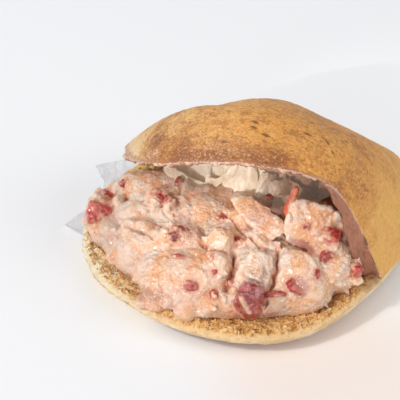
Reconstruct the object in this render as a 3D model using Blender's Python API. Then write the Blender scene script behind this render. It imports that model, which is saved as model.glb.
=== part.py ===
"""A round pocket bread, slit round its front half and held open, with a heap of
soft cheese and diced tomato inside. Lengths below are in millimetres and angles
in degrees; the meshes are made in metres. The mouth faces -Y and +Z is up."""

import math
import random

import bmesh
import bpy
import numpy as np
from mathutils import Euler, Matrix, Vector
from mathutils.bvhtree import BVHTree

MM = 0.001

# ---------------------------------------------------------------- bread: plan
BREAD_RADIUS = 69.3  # mean radius of the loaf seen from above
OVAL = 2.0  # how much narrower the loaf is across the mouth
OVAL_SKEW = 1.0  # turns that oval a little to the right
SQUARENESS = 1.8  # fullness at the four quarters

# ------------------------------------------------------------ bread: the slit
SLIT_LEFT = 165.0  # azimuth of the slit's left end; the right end is at 360
SEAM_HEIGHT = 13.0  # where upper and lower half meet at the back
RIM_DIP = 4.5  # how much lower the lower half's rim is at the front
LIP = (  # azimuth, and how far out from the apex the raised lip lies there
    (165, 1.0),
    (184, 1.0),
    (190, 0.925),
    (205, 0.765),
    (221, 0.63),
    (246, 0.48),
    (270, 0.445),
    (296, 0.456),
    (311, 0.507),
    (324, 0.566),
    (332, 0.624),
    (339, 0.676),
    (346, 0.752),
    (351, 0.85),
    (355, 0.94),
    (360, 1.0),
)

# ------------------------------------------------------------- bread: profile
APEX = (15.0, -14.0, 76.0)  # highest point of the raised half
FULLNESS = (  # azimuth, and how full the raised half is on the way out to its edge
    (0, 3.8),
    (25, 2.5),
    (50, 1.5),
    (75, 1.5),
    (105, 1.72),
    (135, 1.68),
    (165, 1.85),
    (190, 2.35),
    (215, 2.05),
    (245, 2.1),
    (275, 2.8),
    (305, 4.0),
    (330, 4.6),
    (360, 3.8),
)
CAP_SHARE = 0.5  # inside this share of the way out the top is a plain round cap
CAP_FULLNESS = 2.0
PUFF = (  # azimuth, and the share of the height that is a steep, puffed edge there
    (0, 0.08),
    (25, 0.22),
    (45, 0.30),
    (70, 0.18),
    (100, 0.10),
    (165, 0.03),
    (185, 0.0),
    (340, 0.0),
    (360, 0.08),
)
PUFF_STEEPNESS = 26.0
NOSE_AZIMUTH = 184.0  # where the upper half's left corner turns up like a beak
NOSE_SPREAD = 12.0
NOSE_RISE = 13.0
FLAT_SHARE = 0.70  # share of the radius that lies flat on the table
FLOOR = 7.0  # thickness of the lower half at its middle
WALL = 7.0  # thickness at the closed back
ROOF = 5.0  # thickness of the raised half
LIP_THICKNESS = 1.6
RIM_WIDTH = 3.2  # width of the lower half's cut rim
RIM_RISE = 2.0  # how much the cut rim slopes up towards the crumb

# ------------------------------------------------------------ cheese filling
HEAP_MIDDLE = (6.0, -15.0)
HEAP_MARGIN = (  # azimuth, and how far inside the loaf's outline the heap ends there
    (0, 12.0),
    (60, 11.0),
    (120, 12.0),
    (170, 15.0),
    (195, 14.0),
    (215, 5.0),
    (228, 4.0),
    (242, 6.5),
    (256, 7.0),
    (267, 3.0),
    (285, 3.5),
    (300, 8.0),
    (320, 8.0),
    (335, 6.5),
    (345, 6.5),
    (353, 8.5),
    (360, 10.0),
)
HEAP_CROWN = 29.5  # height of the heap before its lumps
HEAP_EDGE = 13.5  # height at which its steep sides begin at the front and left
HEAP_EDGE_RIGHT = 22.0  # and where it presses against the right wall
HEAP_FRONT = (3.2, 0.7)  # how full the heap stays towards its front edge, and how steep
HEAP_BACK = 1.5  # how fast it falls away to the back
HEAP_FOOT = 0.97  # size of its underside against its outline
WAVINESS = ((7, 0.02, 0.0), (12, 0.01, 1.0))  # waves once round its edge, depth and phase
CHEESE_GAP = 0.7  # clearance of the cheese from the bread
LUMPS = (  # x, y, radius and rise of the larger lumps
    (-50.0, -16.0, 12.0, 7.0),
    (-42.0, -40.0, 11.0, 6.0),
    (-24.0, -22.0, 13.0, 5.0),
    (-20.0, -44.0, 12.0, 4.0),
    (-1.0, -55.0, 14.0, 7.0),
    (-4.0, -31.0, 13.0, 4.0),
    (14.0, -36.0, 9.0, 5.0),
    (18.0, -56.0, 10.0, 5.0),
    (19.0, -20.0, 11.0, 4.0),
    (31.0, -41.0, 11.0, 7.0),
    (44.0, -33.0, 14.0, 8.0),
    (40.0, -8.0, 15.0, 10.0),
    (37.0, -9.0, 9.0, 14.0),
    (29.0, -13.0, 7.0, 8.0),
    (49.0, -12.0, 9.0, 8.0),
    (54.0, -23.0, 9.0, 7.0),
    (2.0, 4.0, 12.0, 2.0),
    (26.0, 14.0, 13.0, 2.0),
    (-24.0, 8.0, 13.0, 2.0),
    (-6.0, 26.0, 13.0, 4.0),
    (26.0, 36.0, 12.0, 3.0),
)

# -------------------------------------------------------------- diced tomato
TOMATO_GAP = 0.35  # clearance of a piece of tomato from the bread and the cheese
TOMATO_UNEVENNESS = (0.8, 1.1)  # least and most of its size that a corner reaches
TOMATO_EDGE = 0.2  # rounding of its edges, as a share of its smallest side
SOCKET_GAP = 1.3 * TOMATO_GAP  # what a socket is larger by, so that its corners stay clear
TOMATOES = (  # name, middle, size, tilt, turn and how wide its upper end is against its foot
    ("tomato_rim_cube", (-48.6, -42.0, 18.0), (11.0, 9.5, 9.5), 16, 38, 1.0),
    ("tomato_wedge_left", (-23.5, -31.0, 32.0), (9.5, 5.0, 4.5), 15, 10, 1.0),
    ("tomato_hollow", (-4.5, -43.5, 28.5), (10.0, 8.0, 7.0), 30, 50, 1.0),
    ("tomato_front_large", (34.5, -49.5, 20.0), (11.0, 9.0, 19.0), 20, 20, 0.8),
    ("tomato_spike", (28.0, -11.2, 41.8), (5.5, 5.0, 15.5), 10, 60, 0.35),
    ("tomato_right", (47.0, -12.5, 33.0), (8.0, 7.0, 7.0), 25, 30, 1.0),
    ("tomato_right_small", (59.0, -12.5, 21.5), (5.0, 4.5, 8.0), 18, 70, 1.0),
    ("tomato_strip_left", (-52.0, -32.5, 22.0), (11.0, 4.5, 4.0), 8, 72, 1.0),
)

# --------------------------------------------------------------------- paper
PAPER_THICKNESS = 0.6
PAPER_GAP = 0.6  # clearance of the lining from bread and cheese
LINING_LEFT = (-40.0, -8.5)  # the lining's foot, left and right
LINING_RIGHT = (30.0, 8.0)
LINING_HEIGHT = 28.0
LINING_ENDS = 0.62  # its height at its ends, as a share of the height in between
LINING_ROOM = 2.0  # least space over it, under the raised half
LINING_LEAN = 6.0  # how far its upper edge leans back
FOLDS = ((17.0, 2.5, 0.0, 2.6), (31.0, -4.0, 1.0, 1.5))  # turns along, up, phase and depth
FOLD_AT_FOOT = 0.35  # share of their depth that the folds have at its foot
SWAY = (12.0, 9.0, 2.0)  # turns along, up and depth of its sideways waves
RAGGEDNESS = ((23.0, 0.0, 0.10), (41.0, 1.0, 0.08))  # turns, phase, depth of its torn edge
CORNERS = (  # azimuth, and how far the sheet reaches out there
    (150, 58.5),
    (161, 67),
    (171, 82),
    (180, 89),
    (184, 79),
    (192, 72),
    (200, 75),
    (211, 82),
    (215, 72),
    (222, 58.5),
)
CORNER_COLUMNS = 5
CORNER_TUCK = 57.5  # how near the loaf's middle the sheet begins, under the rim
CORNER_LIFT = 1.8  # how far its tips lift off the table

# -------------------------------------------------------------------- finishes
CRUST = ((0.66, 0.33, 0.12), 0.75)  # colour and roughness
CHEESE = ((0.85, 0.55, 0.38), 0.35)
TOMATO = ((0.58, 0.12, 0.08), 0.3)
LINING = ((0.75, 0.66, 0.53), 0.5)
CORNER = ((0.72, 0.72, 0.75), 0.6)

# ------------------------------------------------------------------ fineness
AZIMUTHS = 80
TOP_RINGS = 11
SIDE_RINGS = 7
STRIP_RINGS = 2
HEAP_AZIMUTHS = 84
HEAP_RINGS = 15
HEAP_FLOOR_RINGS = 4
LINING_COLUMNS = 26
LINING_ROWS = 8
EDGE_CROWDING = 1.5  # how much closer the rings lie towards the edge
HEAP_CROWDING = 1.25
REACH_STEPS = 12  # steps and stride of the search for the heap's edge
REACH_STRIDE = 0.7
CLEARING_STEPS = 4


def smooth_step(value):
    value = np.clip(value, 0.0, 1.0)
    return value * value * (3.0 - 2.0 * value)


def plan_radius(azimuth):
    """Radius of the loaf's outline, seen from above."""
    return (
        BREAD_RADIUS
        - OVAL * np.cos(2 * azimuth)
        + OVAL_SKEW * np.sin(2 * azimuth)
        - SQUARENESS * np.cos(4 * azimuth)
    )


def slit_depth(azimuth):
    """0 where the bread is closed, rising to 1 along the middle of the slit."""
    share = (np.degrees(azimuth) - SLIT_LEFT) / (360.0 - SLIT_LEFT)
    return np.where((share > 0) & (share < 1), np.sin(np.pi * np.clip(share, 0, 1)), 0.0)


def rim_height(azimuth):
    """Height of the lower half's outer edge."""
    return SEAM_HEIGHT - RIM_DIP * smooth_step(1.6 * slit_depth(azimuth))


def on_plan(azimuth, share, height):
    """The point at a share of the outline's radius, at a height."""
    radius = plan_radius(azimuth) * share
    height = np.broadcast_to(height, np.shape(radius))
    return np.stack([radius * np.cos(azimuth), radius * np.sin(azimuth), height], -1)


def by_azimuth(table, azimuth):
    """A smooth value from a table of azimuths in degrees that runs once round."""
    degrees, values = np.array(table, float).T
    degrees = np.concatenate([[degrees[-2] - 360], degrees, [degrees[1] + 360]])
    values = np.concatenate([[values[-2]], values, [values[1]]])
    slopes = np.gradient(values, degrees)
    place = np.searchsorted(degrees, np.degrees(azimuth), side="right") - 1
    place = np.clip(place, 1, len(degrees) - 3)
    span = degrees[place + 1] - degrees[place]
    along = (np.degrees(azimuth) - degrees[place]) / span
    return (
        (1 + 2 * along) * (1 - along) ** 2 * values[place]
        + along * (1 - along) ** 2 * span * slopes[place]
        + along**2 * (3 - 2 * along) * values[place + 1]
        - along**2 * (1 - along) * span * slopes[place + 1]
    )


def dome(azimuth, share):
    """The upper crust, from the apex (share 0) out to the loaf's outline (share 1)."""
    puff = by_azimuth(PUFF, azimuth)
    away = smooth_step(share / CAP_SHARE)
    fullness = CAP_FULLNESS + (by_azimuth(FULLNESS, azimuth) - CAP_FULLNESS) * away
    fall = (1 - puff) * share**fullness + puff * share**PUFF_STEEPNESS
    nose = np.exp(-(((np.degrees(azimuth) - NOSE_AZIMUTH) / NOSE_SPREAD) ** 2))
    nose *= smooth_step((np.degrees(azimuth) - SLIT_LEFT) / NOSE_SPREAD)
    apex = np.array(APEX)
    crust = apex + (on_plan(azimuth, 1.0, SEAM_HEIGHT) - apex) * share[..., None]
    crust[..., 2] = APEX[2] - (APEX[2] - SEAM_HEIGHT) * fall + NOSE_RISE * nose * share**3.5
    return crust


def lip_share(azimuth):
    """How far out the upper half reaches: to the outline, or to the lip of the slit."""
    reach = np.minimum(by_azimuth(LIP, azimuth), 1.0)
    return np.where(np.degrees(azimuth) > SLIT_LEFT, reach, 1.0)


def outer_top(azimuth, step):
    """The crust of the upper half, from the apex (step 0) to its edge (step 1)."""
    return dome(azimuth, lip_share(azimuth) * (1 - (1 - step) ** EDGE_CROWDING))


def outward(grid):
    """Unit normals of a grid whose first axis runs round and closes."""
    around = np.roll(grid, -1, axis=0) - np.roll(grid, 1, axis=0)
    down = np.gradient(grid, axis=1)
    normal = np.cross(down, around)
    normal[:, 0] = normal[:, 1].mean(axis=0)
    normal /= np.linalg.norm(normal, axis=-1, keepdims=True) + 1e-9
    return normal


def closed_share(azimuth):
    """1 where the bread is closed and near the slit's ends, 0 along the slit."""
    return 1 - smooth_step(3.0 * slit_depth(azimuth))


def inner_seam(azimuth):
    """Where roof and floor of the pocket meet at the back."""
    return on_plan(azimuth, 1 - WALL / plan_radius(azimuth), SEAM_HEIGHT - 0.5)


def inner_top(azimuth, step):
    """The pocket's roof."""
    crust = outer_top(azimuth, step)
    thickness = ROOF + (LIP_THICKNESS - ROOF) * smooth_step((step - 0.45) / 0.55)
    roof = crust - outward(crust) * thickness[..., None]
    pull = (closed_share(azimuth) * step**5)[..., None]
    return roof + (inner_seam(azimuth) - roof) * pull


def outer_bottom(azimuth, step):
    """The lower crust, from its rim (step 0) to the middle of the flat underside."""
    bend = np.clip(step / 0.6, 0, 1) * np.pi / 2
    share = FLAT_SHARE + (1 - FLAT_SHARE) * np.cos(bend)
    height = rim_height(azimuth) * (1 - np.sin(bend))
    share = np.where(step > 0.6, FLAT_SHARE * (1 - step) / 0.4, share)
    return on_plan(azimuth, share, height)


def inner_bottom(azimuth, step):
    """The pocket's floor, from its rim (step 0) to its middle."""
    cut = on_plan(azimuth, 1 - RIM_WIDTH / plan_radius(azimuth), rim_height(azimuth) + RIM_RISE)
    closed = closed_share(azimuth)[..., None]
    start = cut + (inner_seam(azimuth) - cut) * closed
    bend = (1 - step) ** (3 + 3 * closed[..., 0])
    floor = start * (1 - step)[..., None]
    floor[..., 2] = FLOOR + (start[..., 2] - FLOOR) * bend
    return floor


def grid_quads(rows, columns, start, closed):
    """Faces of a rows x columns grid of vertices."""
    faces = []
    for row in range(rows if closed else rows - 1):
        after = (row + 1) % rows
        for column in range(columns - 1):
            faces.append(
                (
                    start + row * columns + column,
                    start + after * columns + column,
                    start + after * columns + column + 1,
                    start + row * columns + column + 1,
                )
            )
    return faces


def mesh_from_grids(name, grids):
    """One closed mesh from grids of points whose shared edges coincide."""
    points, faces = [], []
    for grid, closed in grids:
        rows, columns = grid.shape[:2]
        faces += grid_quads(rows, columns, len(points), closed)
        points += [tuple(point) for point in grid.reshape(-1, 3) * MM]
    mesh = bpy.data.meshes.new(name)
    mesh.from_pydata(points, [], faces)
    shape = bmesh.new()
    shape.from_mesh(mesh)
    bmesh.ops.remove_doubles(shape, verts=shape.verts, dist=1e-6)
    bmesh.ops.recalc_face_normals(shape, faces=shape.faces)
    shape.to_mesh(mesh)
    shape.free()
    mesh.shade_smooth()
    return mesh


def strip_between(first, second):
    """A strip of rings from one edge to another."""
    step = np.linspace(0, 1, STRIP_RINGS + 1)[None, :, None]
    return first[:, None] + (second - first)[:, None] * step


def bread_mesh():
    slit_cells = round(AZIMUTHS * (360 - SLIT_LEFT) / 360)
    slit = np.radians(np.linspace(SLIT_LEFT, 360, slit_cells + 1))
    back = np.radians(np.linspace(0, SLIT_LEFT, AZIMUTHS - slit_cells + 1))[:-1]
    around = np.concatenate([slit[:-1], back])
    top = np.meshgrid(around, np.linspace(0, 1, TOP_RINGS + 1), indexing="ij")
    side = np.meshgrid(around, np.linspace(0, 1, SIDE_RINGS + 1), indexing="ij")
    crust, roof = outer_top(*top), inner_top(*top)
    underside, floor = outer_bottom(*side), inner_bottom(*side)

    def along_slit(grid, ring):
        ends = np.arange(slit_cells + 1) % len(around)
        return grid[ends, ring]

    lip = strip_between(along_slit(crust, -1), along_slit(roof, -1))
    rim = strip_between(along_slit(underside, 0), along_slit(floor, 0))
    closed = [(grid, True) for grid in (crust, roof, underside, floor)]
    return mesh_from_grids("bread", closed + [(lip, False), (rim, False)])


def heap_reach(turn):
    """How far the heap reaches from its middle in a direction."""
    ahead = np.array([math.cos(turn), math.sin(turn)])
    reach = BREAD_RADIUS
    for step in range(REACH_STEPS):
        place = HEAP_MIDDLE + reach * ahead
        azimuth = np.arctan2(place[1], place[0]) % (2 * np.pi)
        room = plan_radius(azimuth) - by_azimuth(HEAP_MARGIN, azimuth) - np.hypot(*place)
        reach += REACH_STRIDE * float(room)
    return reach


HEAP_TURNS = np.radians(np.arange(361.0))
HEAP_REACHES = np.array([heap_reach(turn) for turn in HEAP_TURNS])


def heap_height(x, y):
    """Height of the heap before its lumps, over a point of the pocket's floor."""
    away = np.array([x, y]) - HEAP_MIDDLE
    distance = np.hypot(*away) + 1e-9
    ahead = away / distance
    turn = math.atan2(ahead[1], ahead[0]) % (2 * math.pi)
    share = min(distance / np.interp(turn, HEAP_TURNS, HEAP_REACHES), 1.0)
    edge = HEAP_EDGE + (HEAP_EDGE_RIGHT - HEAP_EDGE) * max(ahead[0], 0.0) ** 3
    front = (1 - share ** HEAP_FRONT[0]) ** HEAP_FRONT[1]
    back = (1 - share) ** HEAP_BACK
    behind = smooth_step(0.5 + 1.2 * ahead[1])
    return edge + (HEAP_CROWN - edge) * (front + (back - front) * behind)


def cheese_top(x, y):
    """The heap with its lumps."""
    height = heap_height(x, y)
    for lump_x, lump_y, radius, rise in LUMPS:
        away = ((x - lump_x) ** 2 + (y - lump_y) ** 2) / radius**2
        if away < 1:
            dome_top = heap_height(lump_x, lump_y) + rise * (2 * math.sqrt(1 - away) - 1)
            height = max(height, dome_top)
    return height


def heap_grid(shares):
    """Plan points of the heap at shares of its reach, round and round."""
    turns = np.radians(np.arange(HEAP_AZIMUTHS) * 360.0 / HEAP_AZIMUTHS)
    grid = np.zeros((HEAP_AZIMUTHS, len(shares), 3))
    for row, turn in enumerate(turns):
        ahead = np.array([math.cos(turn), math.sin(turn)])
        waves = sum(depth * (math.sin(count * turn + at) - 1) for count, depth, at in WAVINESS)
        grid[row, :, :2] = HEAP_MIDDLE + np.outer(shares * heap_reach(turn) * (1 + waves), ahead)
    return grid


def floor_height(x, y):
    """Height of the pocket's floor under a point."""
    azimuth = np.arctan2(y, x) % (2 * np.pi)
    edge = inner_bottom(azimuth, np.zeros_like(azimuth))
    share = np.hypot(x, y) / np.hypot(edge[..., 0], edge[..., 1])
    return inner_bottom(azimuth, 1 - np.minimum(share, 1.0))[..., 2]


def roof_height(x, y):
    """Height of the pocket's roof over each point, from the nearest points of its grid."""
    turns = np.radians(np.arange(0.0, 360.0, 2.0))
    grid = inner_top(*np.meshgrid(turns, np.linspace(0, 1, 40), indexing="ij")).reshape(-1, 3)
    away = (x[..., None] - grid[:, 0]) ** 2 + (y[..., None] - grid[:, 1]) ** 2
    return grid[np.argmin(away, axis=-1), 2]


def is_inside(tree, place):
    """Whether a point is inside a closed mesh, by counting the walls over it."""
    up = Vector((0.11, 0.07, 1.0)).normalized()
    walls = 0
    hit = tree.ray_cast(place, up)[0]
    while hit is not None:
        walls += 1
        hit = tree.ray_cast(hit + up * 1e-6, up)[0]
    return walls % 2 == 1


def keep_clear(mesh, other, gap):
    """Move the points of a mesh that come too near another closed mesh."""
    shape = bmesh.new()
    shape.from_mesh(other)
    tree = BVHTree.FromBMesh(shape)
    shape.free()
    for vertex in mesh.vertices:
        for step in range(CLEARING_STEPS):
            place, normal, face, distance = tree.find_nearest(vertex.co)
            inside = is_inside(tree, vertex.co)
            if distance >= gap * MM and not inside:
                break
            away = place - vertex.co if inside else vertex.co - place
            away = away.normalized() if away.length > 1e-7 else normal
            vertex.co = place + away * gap * 1.02 * MM


def cheese_mesh(bread):
    top_shares = 1 - (1 - np.linspace(0, 1, HEAP_RINGS + 1)) ** HEAP_CROWDING
    top = heap_grid(top_shares)
    for place in top.reshape(-1, 3):
        place[2] = cheese_top(place[0], place[1])
    bottom = heap_grid(np.linspace(1, 0, HEAP_FLOOR_RINGS + 1) * HEAP_FOOT)
    bottom[..., 2] = floor_height(bottom[..., 0], bottom[..., 1]) + CHEESE_GAP
    side = strip_between(top[:, -1], bottom[:, 0])
    mesh = mesh_from_grids("cheese_filling", [(top, True), (side, True), (bottom, True)])
    keep_clear(mesh, bread, CHEESE_GAP)
    return mesh


def tomato_mesh(name, place, size, tilt, turn, taper, bread):
    """A diced piece with soft edges and slightly uneven faces."""
    chance = random.Random(name)
    shape = bmesh.new()
    bmesh.ops.create_cube(shape, size=1.0)
    for vertex in shape.verts:
        for axis in range(3):
            vertex.co[axis] *= size[axis] * chance.uniform(*TOMATO_UNEVENNESS) * MM
        if vertex.co.z > 0:
            vertex.co.xy *= taper
    rounding = min(size) * TOMATO_EDGE * taper * MM
    bmesh.ops.bevel(
        shape, geom=shape.edges[:], offset=rounding, segments=2, affect="EDGES", profile=0.6
    )
    bmesh.ops.triangulate(shape, faces=shape.faces)
    lean = Euler((math.radians(tilt), math.radians(tilt / 2), math.radians(turn)))
    shape.transform(Matrix.Translation(Vector(place) * MM) @ lean.to_matrix().to_4x4())
    mesh = bpy.data.meshes.new(name)
    shape.to_mesh(mesh)
    shape.free()
    mesh.shade_smooth()
    keep_clear(mesh, bread, TOMATO_GAP)
    return mesh


def socket_mesh(mesh):
    """A tomato piece grown by its clearance, to cut its place out of the cheese."""
    socket = mesh.copy()
    normals = [vertex.normal.copy() for vertex in mesh.vertices]
    for vertex, normal in zip(socket.vertices, normals):
        vertex.co += normal * SOCKET_GAP * MM
    return socket


def sheet_mesh(name, grid, across):
    """A thin closed sheet round a grid of points, both faces split alike."""
    half = across * PAPER_THICKNESS / 2
    front, back = grid + half, grid - half
    rows, columns = grid.shape[:2]
    points = [tuple(point) for point in np.concatenate([front, back]).reshape(-1, 3) * MM]
    other = rows * columns
    faces = []
    for row in range(rows - 1):
        for column in range(columns - 1):
            a = row * columns + column
            b, c, d = a + 1, a + columns + 1, a + columns
            faces += [(a, b, c), (a, c, d), (a + other, c + other, b + other)]
            faces.append((a + other, d + other, c + other))
    border = list(range(columns))
    border += [row * columns + columns - 1 for row in range(1, rows)]
    border += [(rows - 1) * columns + column for column in range(columns - 2, -1, -1)]
    border += [row * columns for row in range(rows - 2, 0, -1)]
    for first, second in zip(border, border[1:] + border[:1]):
        faces += [(first, second, second + other), (first, second + other, first + other)]
    mesh = bpy.data.meshes.new(name)
    mesh.from_pydata(points, [], faces)
    shape = bmesh.new()
    shape.from_mesh(mesh)
    bmesh.ops.recalc_face_normals(shape, faces=shape.faces)
    shape.to_mesh(mesh)
    shape.free()
    return mesh


def lining_mesh(bread, cheese):
    """The crumpled sheet that stands behind the heap and lines the raised half."""
    along = np.linspace(0, 1, LINING_COLUMNS)[:, None]
    up = np.linspace(0, 1, LINING_ROWS)[None, :]
    folds = sum(
        depth * np.sin(turns * along + climb * up + at) for turns, climb, at, depth in FOLDS
    )
    x = LINING_LEFT[0] + (LINING_RIGHT[0] - LINING_LEFT[0]) * along
    x = x + SWAY[2] * np.sin(SWAY[0] * along + SWAY[1] * up)
    y = LINING_LEFT[1] + (LINING_RIGHT[1] - LINING_LEFT[1]) * along + LINING_LEAN * up
    y = y + folds * (FOLD_AT_FOOT + (1 - FOLD_AT_FOOT) * up)
    foot = np.array([cheese_top(*place) for place in zip(x[:, 0], y[:, 0])])[:, None]
    height = LINING_HEIGHT * (LINING_ENDS + (1 - LINING_ENDS) * np.sin(np.pi * along**0.8))
    ragged = sum(depth * np.sin(turns * along + at) for turns, at, depth in RAGGEDNESS)
    z = foot + 2 * PAPER_GAP + height * up * (1 + ragged)
    z = np.minimum(z, roof_height(x, y) - LINING_ROOM)
    grid = np.stack([x, y, z], -1)
    run = np.gradient(grid, axis=0)
    rise = np.gradient(grid, axis=1)
    across = np.cross(run, rise)
    across /= np.linalg.norm(across, axis=-1, keepdims=True)
    mesh = sheet_mesh("paper_lining", grid, across)
    keep_clear(mesh, bread, PAPER_GAP)
    keep_clear(mesh, cheese, PAPER_GAP)
    return mesh


def corner_sheet_mesh():
    """The two corners of the sheet that show beside the loaf, tucked under its rim."""
    turns, reach = np.array(CORNERS, float).T
    turns = np.radians(turns)
    along = np.linspace(0, 1, CORNER_COLUMNS)[None, :]
    radius = CORNER_TUCK + (reach[:, None] - CORNER_TUCK) * along
    grid = np.stack(
        [
            radius * np.cos(turns)[:, None],
            radius * np.sin(turns)[:, None],
            PAPER_THICKNESS / 2 + CORNER_LIFT * ((radius - CORNER_TUCK) / np.ptp(reach)) ** 2,
        ],
        -1,
    )
    across = np.zeros_like(grid)
    across[..., 2] = 1.0
    return sheet_mesh("paper_corners", grid, across)


def add_object(name, mesh, finish):
    colour, roughness = finish
    material = bpy.data.materials.new(name)
    material.use_nodes = True
    shader = material.node_tree.nodes["Principled BSDF"]
    shader.inputs["Base Color"].default_value = (*colour, 1.0)
    shader.inputs["Roughness"].default_value = roughness
    thing = bpy.data.objects.new(name, mesh)
    thing.data.materials.append(material)
    bpy.context.scene.collection.objects.link(thing)
    return thing


def drop_scraps(mesh):
    """Keep only the largest of a mesh's separate bodies."""
    shape = bmesh.new()
    shape.from_mesh(mesh)
    left = set(shape.verts)
    bodies = []
    while left:
        body = set()
        front = [left.pop()]
        while front:
            vertex = front.pop()
            body.add(vertex)
            near = {edge.other_vert(vertex) for edge in vertex.link_edges} & left
            left -= near
            front += near
        bodies.append(body)
    largest = max(bodies, key=len)
    scraps = [vertex for vertex in shape.verts if vertex not in largest]
    bmesh.ops.delete(shape, geom=scraps, context="VERTS")
    shape.to_mesh(mesh)
    shape.free()


def cut(thing, cutters):
    """Take the cutters' space out of a thing, for good."""
    for cutter in cutters:
        boolean = thing.modifiers.new("socket", "BOOLEAN")
        boolean.operation = "DIFFERENCE"
        boolean.solver = "EXACT"
        boolean.object = cutter
    evaluated = thing.evaluated_get(bpy.context.evaluated_depsgraph_get())
    mesh = bpy.data.meshes.new_from_object(evaluated)
    thing.modifiers.clear()
    drop_scraps(mesh)
    thing.data = mesh
    for cutter in cutters:
        bpy.data.objects.remove(cutter)


def main():
    for old in list(bpy.data.objects):
        bpy.data.objects.remove(old)
    bread = add_object("bread", bread_mesh(), CRUST)
    cheese = add_object("cheese_filling", cheese_mesh(bread.data), CHEESE)
    sockets = []
    for name, *form in TOMATOES:
        mesh = tomato_mesh(name, *form, bread.data)
        add_object(name, mesh, TOMATO)
        sockets.append(add_object("socket", socket_mesh(mesh), TOMATO))
    cut(cheese, sockets)
    add_object("paper_lining", lining_mesh(bread.data, cheese.data), LINING)
    add_object("paper_corners", corner_sheet_mesh(), CORNER)


main()
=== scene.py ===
"""Looks of a round pocket bread, slit round its front and held open, with a heap of soft
cheese and diced tomato inside. Sizes are in millimetres unless a name says otherwise, and
the meshes are made in metres. The mouth faces -Y and +Z is up."""
import math

import bmesh
import bpy
import numpy as np
from mathutils import Euler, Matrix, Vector
from mathutils.bvhtree import BVHTree


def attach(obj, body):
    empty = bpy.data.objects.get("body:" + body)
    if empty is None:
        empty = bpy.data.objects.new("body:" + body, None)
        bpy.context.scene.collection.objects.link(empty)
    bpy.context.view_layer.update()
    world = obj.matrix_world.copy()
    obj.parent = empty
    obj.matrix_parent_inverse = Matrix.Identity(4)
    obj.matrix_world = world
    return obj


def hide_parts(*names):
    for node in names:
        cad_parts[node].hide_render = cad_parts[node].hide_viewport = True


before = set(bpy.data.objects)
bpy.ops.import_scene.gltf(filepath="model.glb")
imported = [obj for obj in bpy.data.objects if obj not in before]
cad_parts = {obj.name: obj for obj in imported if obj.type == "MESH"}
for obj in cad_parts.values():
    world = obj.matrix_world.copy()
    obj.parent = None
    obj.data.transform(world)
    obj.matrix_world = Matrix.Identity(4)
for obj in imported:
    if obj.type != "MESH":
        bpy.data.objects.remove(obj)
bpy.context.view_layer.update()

MM = 0.001
BODY = "root"

# ---- the loaf's sizes
BREAD_RADIUS = 69.3  # mean radius of the loaf seen from above
OVAL = 2.0  # how much narrower the loaf is across the mouth
OVAL_SKEW = 1.0  # turns that oval a little to the right
SQUARENESS = 1.8  # fullness at the four quarters
SLIT_LEFT = 165.0  # azimuth of the slit's left end; the right end is at 360
SEAM_HEIGHT = 13.0  # where upper and lower half meet at the back
RIM_DIP = 4.5  # how much lower the lower half's rim is at the front
LIP = (  # azimuth, and how far out from the apex the raised lip lies there
    (165, 1.0), (184, 1.0), (190, 0.925), (205, 0.765), (221, 0.63), (246, 0.48), (270, 0.445),
    (296, 0.456), (311, 0.507), (324, 0.566), (332, 0.624), (339, 0.676), (346, 0.752),
    (351, 0.85), (355, 0.94), (360, 1.0),
)
APEX = (15.0, -14.0, 76.0)  # highest point of the raised half
FULLNESS = (  # azimuth, and how full the raised half is on the way out to its edge
    (0, 3.8), (25, 2.5), (50, 1.5), (75, 1.5), (105, 1.72), (135, 1.68), (165, 1.85), (190, 2.35),
    (215, 2.05), (245, 2.1), (275, 2.8), (305, 4.0), (330, 4.6), (360, 3.8),
)
CAP_SHARE = 0.5  # inside this share of the way out the top is a plain round cap
CAP_FULLNESS = 2.0
PUFF = (  # azimuth, and the share of the height that is a steep, puffed edge there
    (0, 0.08), (25, 0.22), (45, 0.30), (70, 0.18), (100, 0.10), (165, 0.03), (185, 0.0),
    (340, 0.0), (360, 0.08),
)
PUFF_STEEPNESS = 26.0
NOSE_AZIMUTH = 184.0  # where the upper half's left corner turns up like a beak
NOSE_SPREAD = 12.0
NOSE_RISE = 13.0
NOSE_CROWDING = 3.5  # how near the lip that rise begins
SEAM_DROP = 0.5  # how far the seam inside the pocket lies under the outer one
FLAT_SHARE = 0.70  # share of the radius that lies flat on the table
FLOOR = 7.0  # thickness of the lower half at its middle
WALL = 7.0  # thickness at the closed back
ROOF = 5.0  # thickness of the raised half
LIP_THICKNESS = 1.6
RIM_WIDTH = 3.2  # width of the lower half's cut rim
RIM_RISE = 2.0  # how much the cut rim slopes up towards the crumb

# ---- how finely the loaf is meshed
BREAD_AZIMUTHS = 400
TOP_RINGS = 80
ROOF_RINGS = 30
UNDER_RINGS = 30
FLOOR_RINGS = 46
LIP_RINGS = 5
BEND_STEPS = 0.6  # share of the underside's rings that lie on its round edge
EDGE_CROWDING = 1.5  # how much closer the rings of the top lie towards its edge
FLOOR_CROWDING = 1.5  # and those of the pocket's floor towards the rim
JOIN = 2e-6  # metres within which the points that two grids share become one


# ---- small maths
def smooth_step(value):
    value = np.clip(value, 0.0, 1.0)
    return value * value * (3.0 - 2.0 * value)


def blend_to(first, second, share):
    return first + (second - first) * share


def shader_colour(colour):
    """A screen colour, three values 0 to 255, as linear values; any other stays as it is."""
    if isinstance(colour, Socket) or len(colour) > 3:
        return colour
    channels = []
    for channel in colour:
        share = channel / 255.0
        channels.append(share / 12.92 if share <= 0.04045 else ((share + 0.055) / 1.055) ** 2.4)
    return (*channels, 1.0)


GRADIENTS = np.random.default_rng(7).normal(size=(4096, 3))
GRADIENTS /= np.linalg.norm(GRADIENTS, axis=1, keepdims=True)
WAVE_HEIGHT = 1.6  # brings the sum of the gradients' slopes to about -1 to 1
CREASE_DEPTH = 2.6
CREASE_DROP = 1.9  # how much weaker the finer creases are


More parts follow.
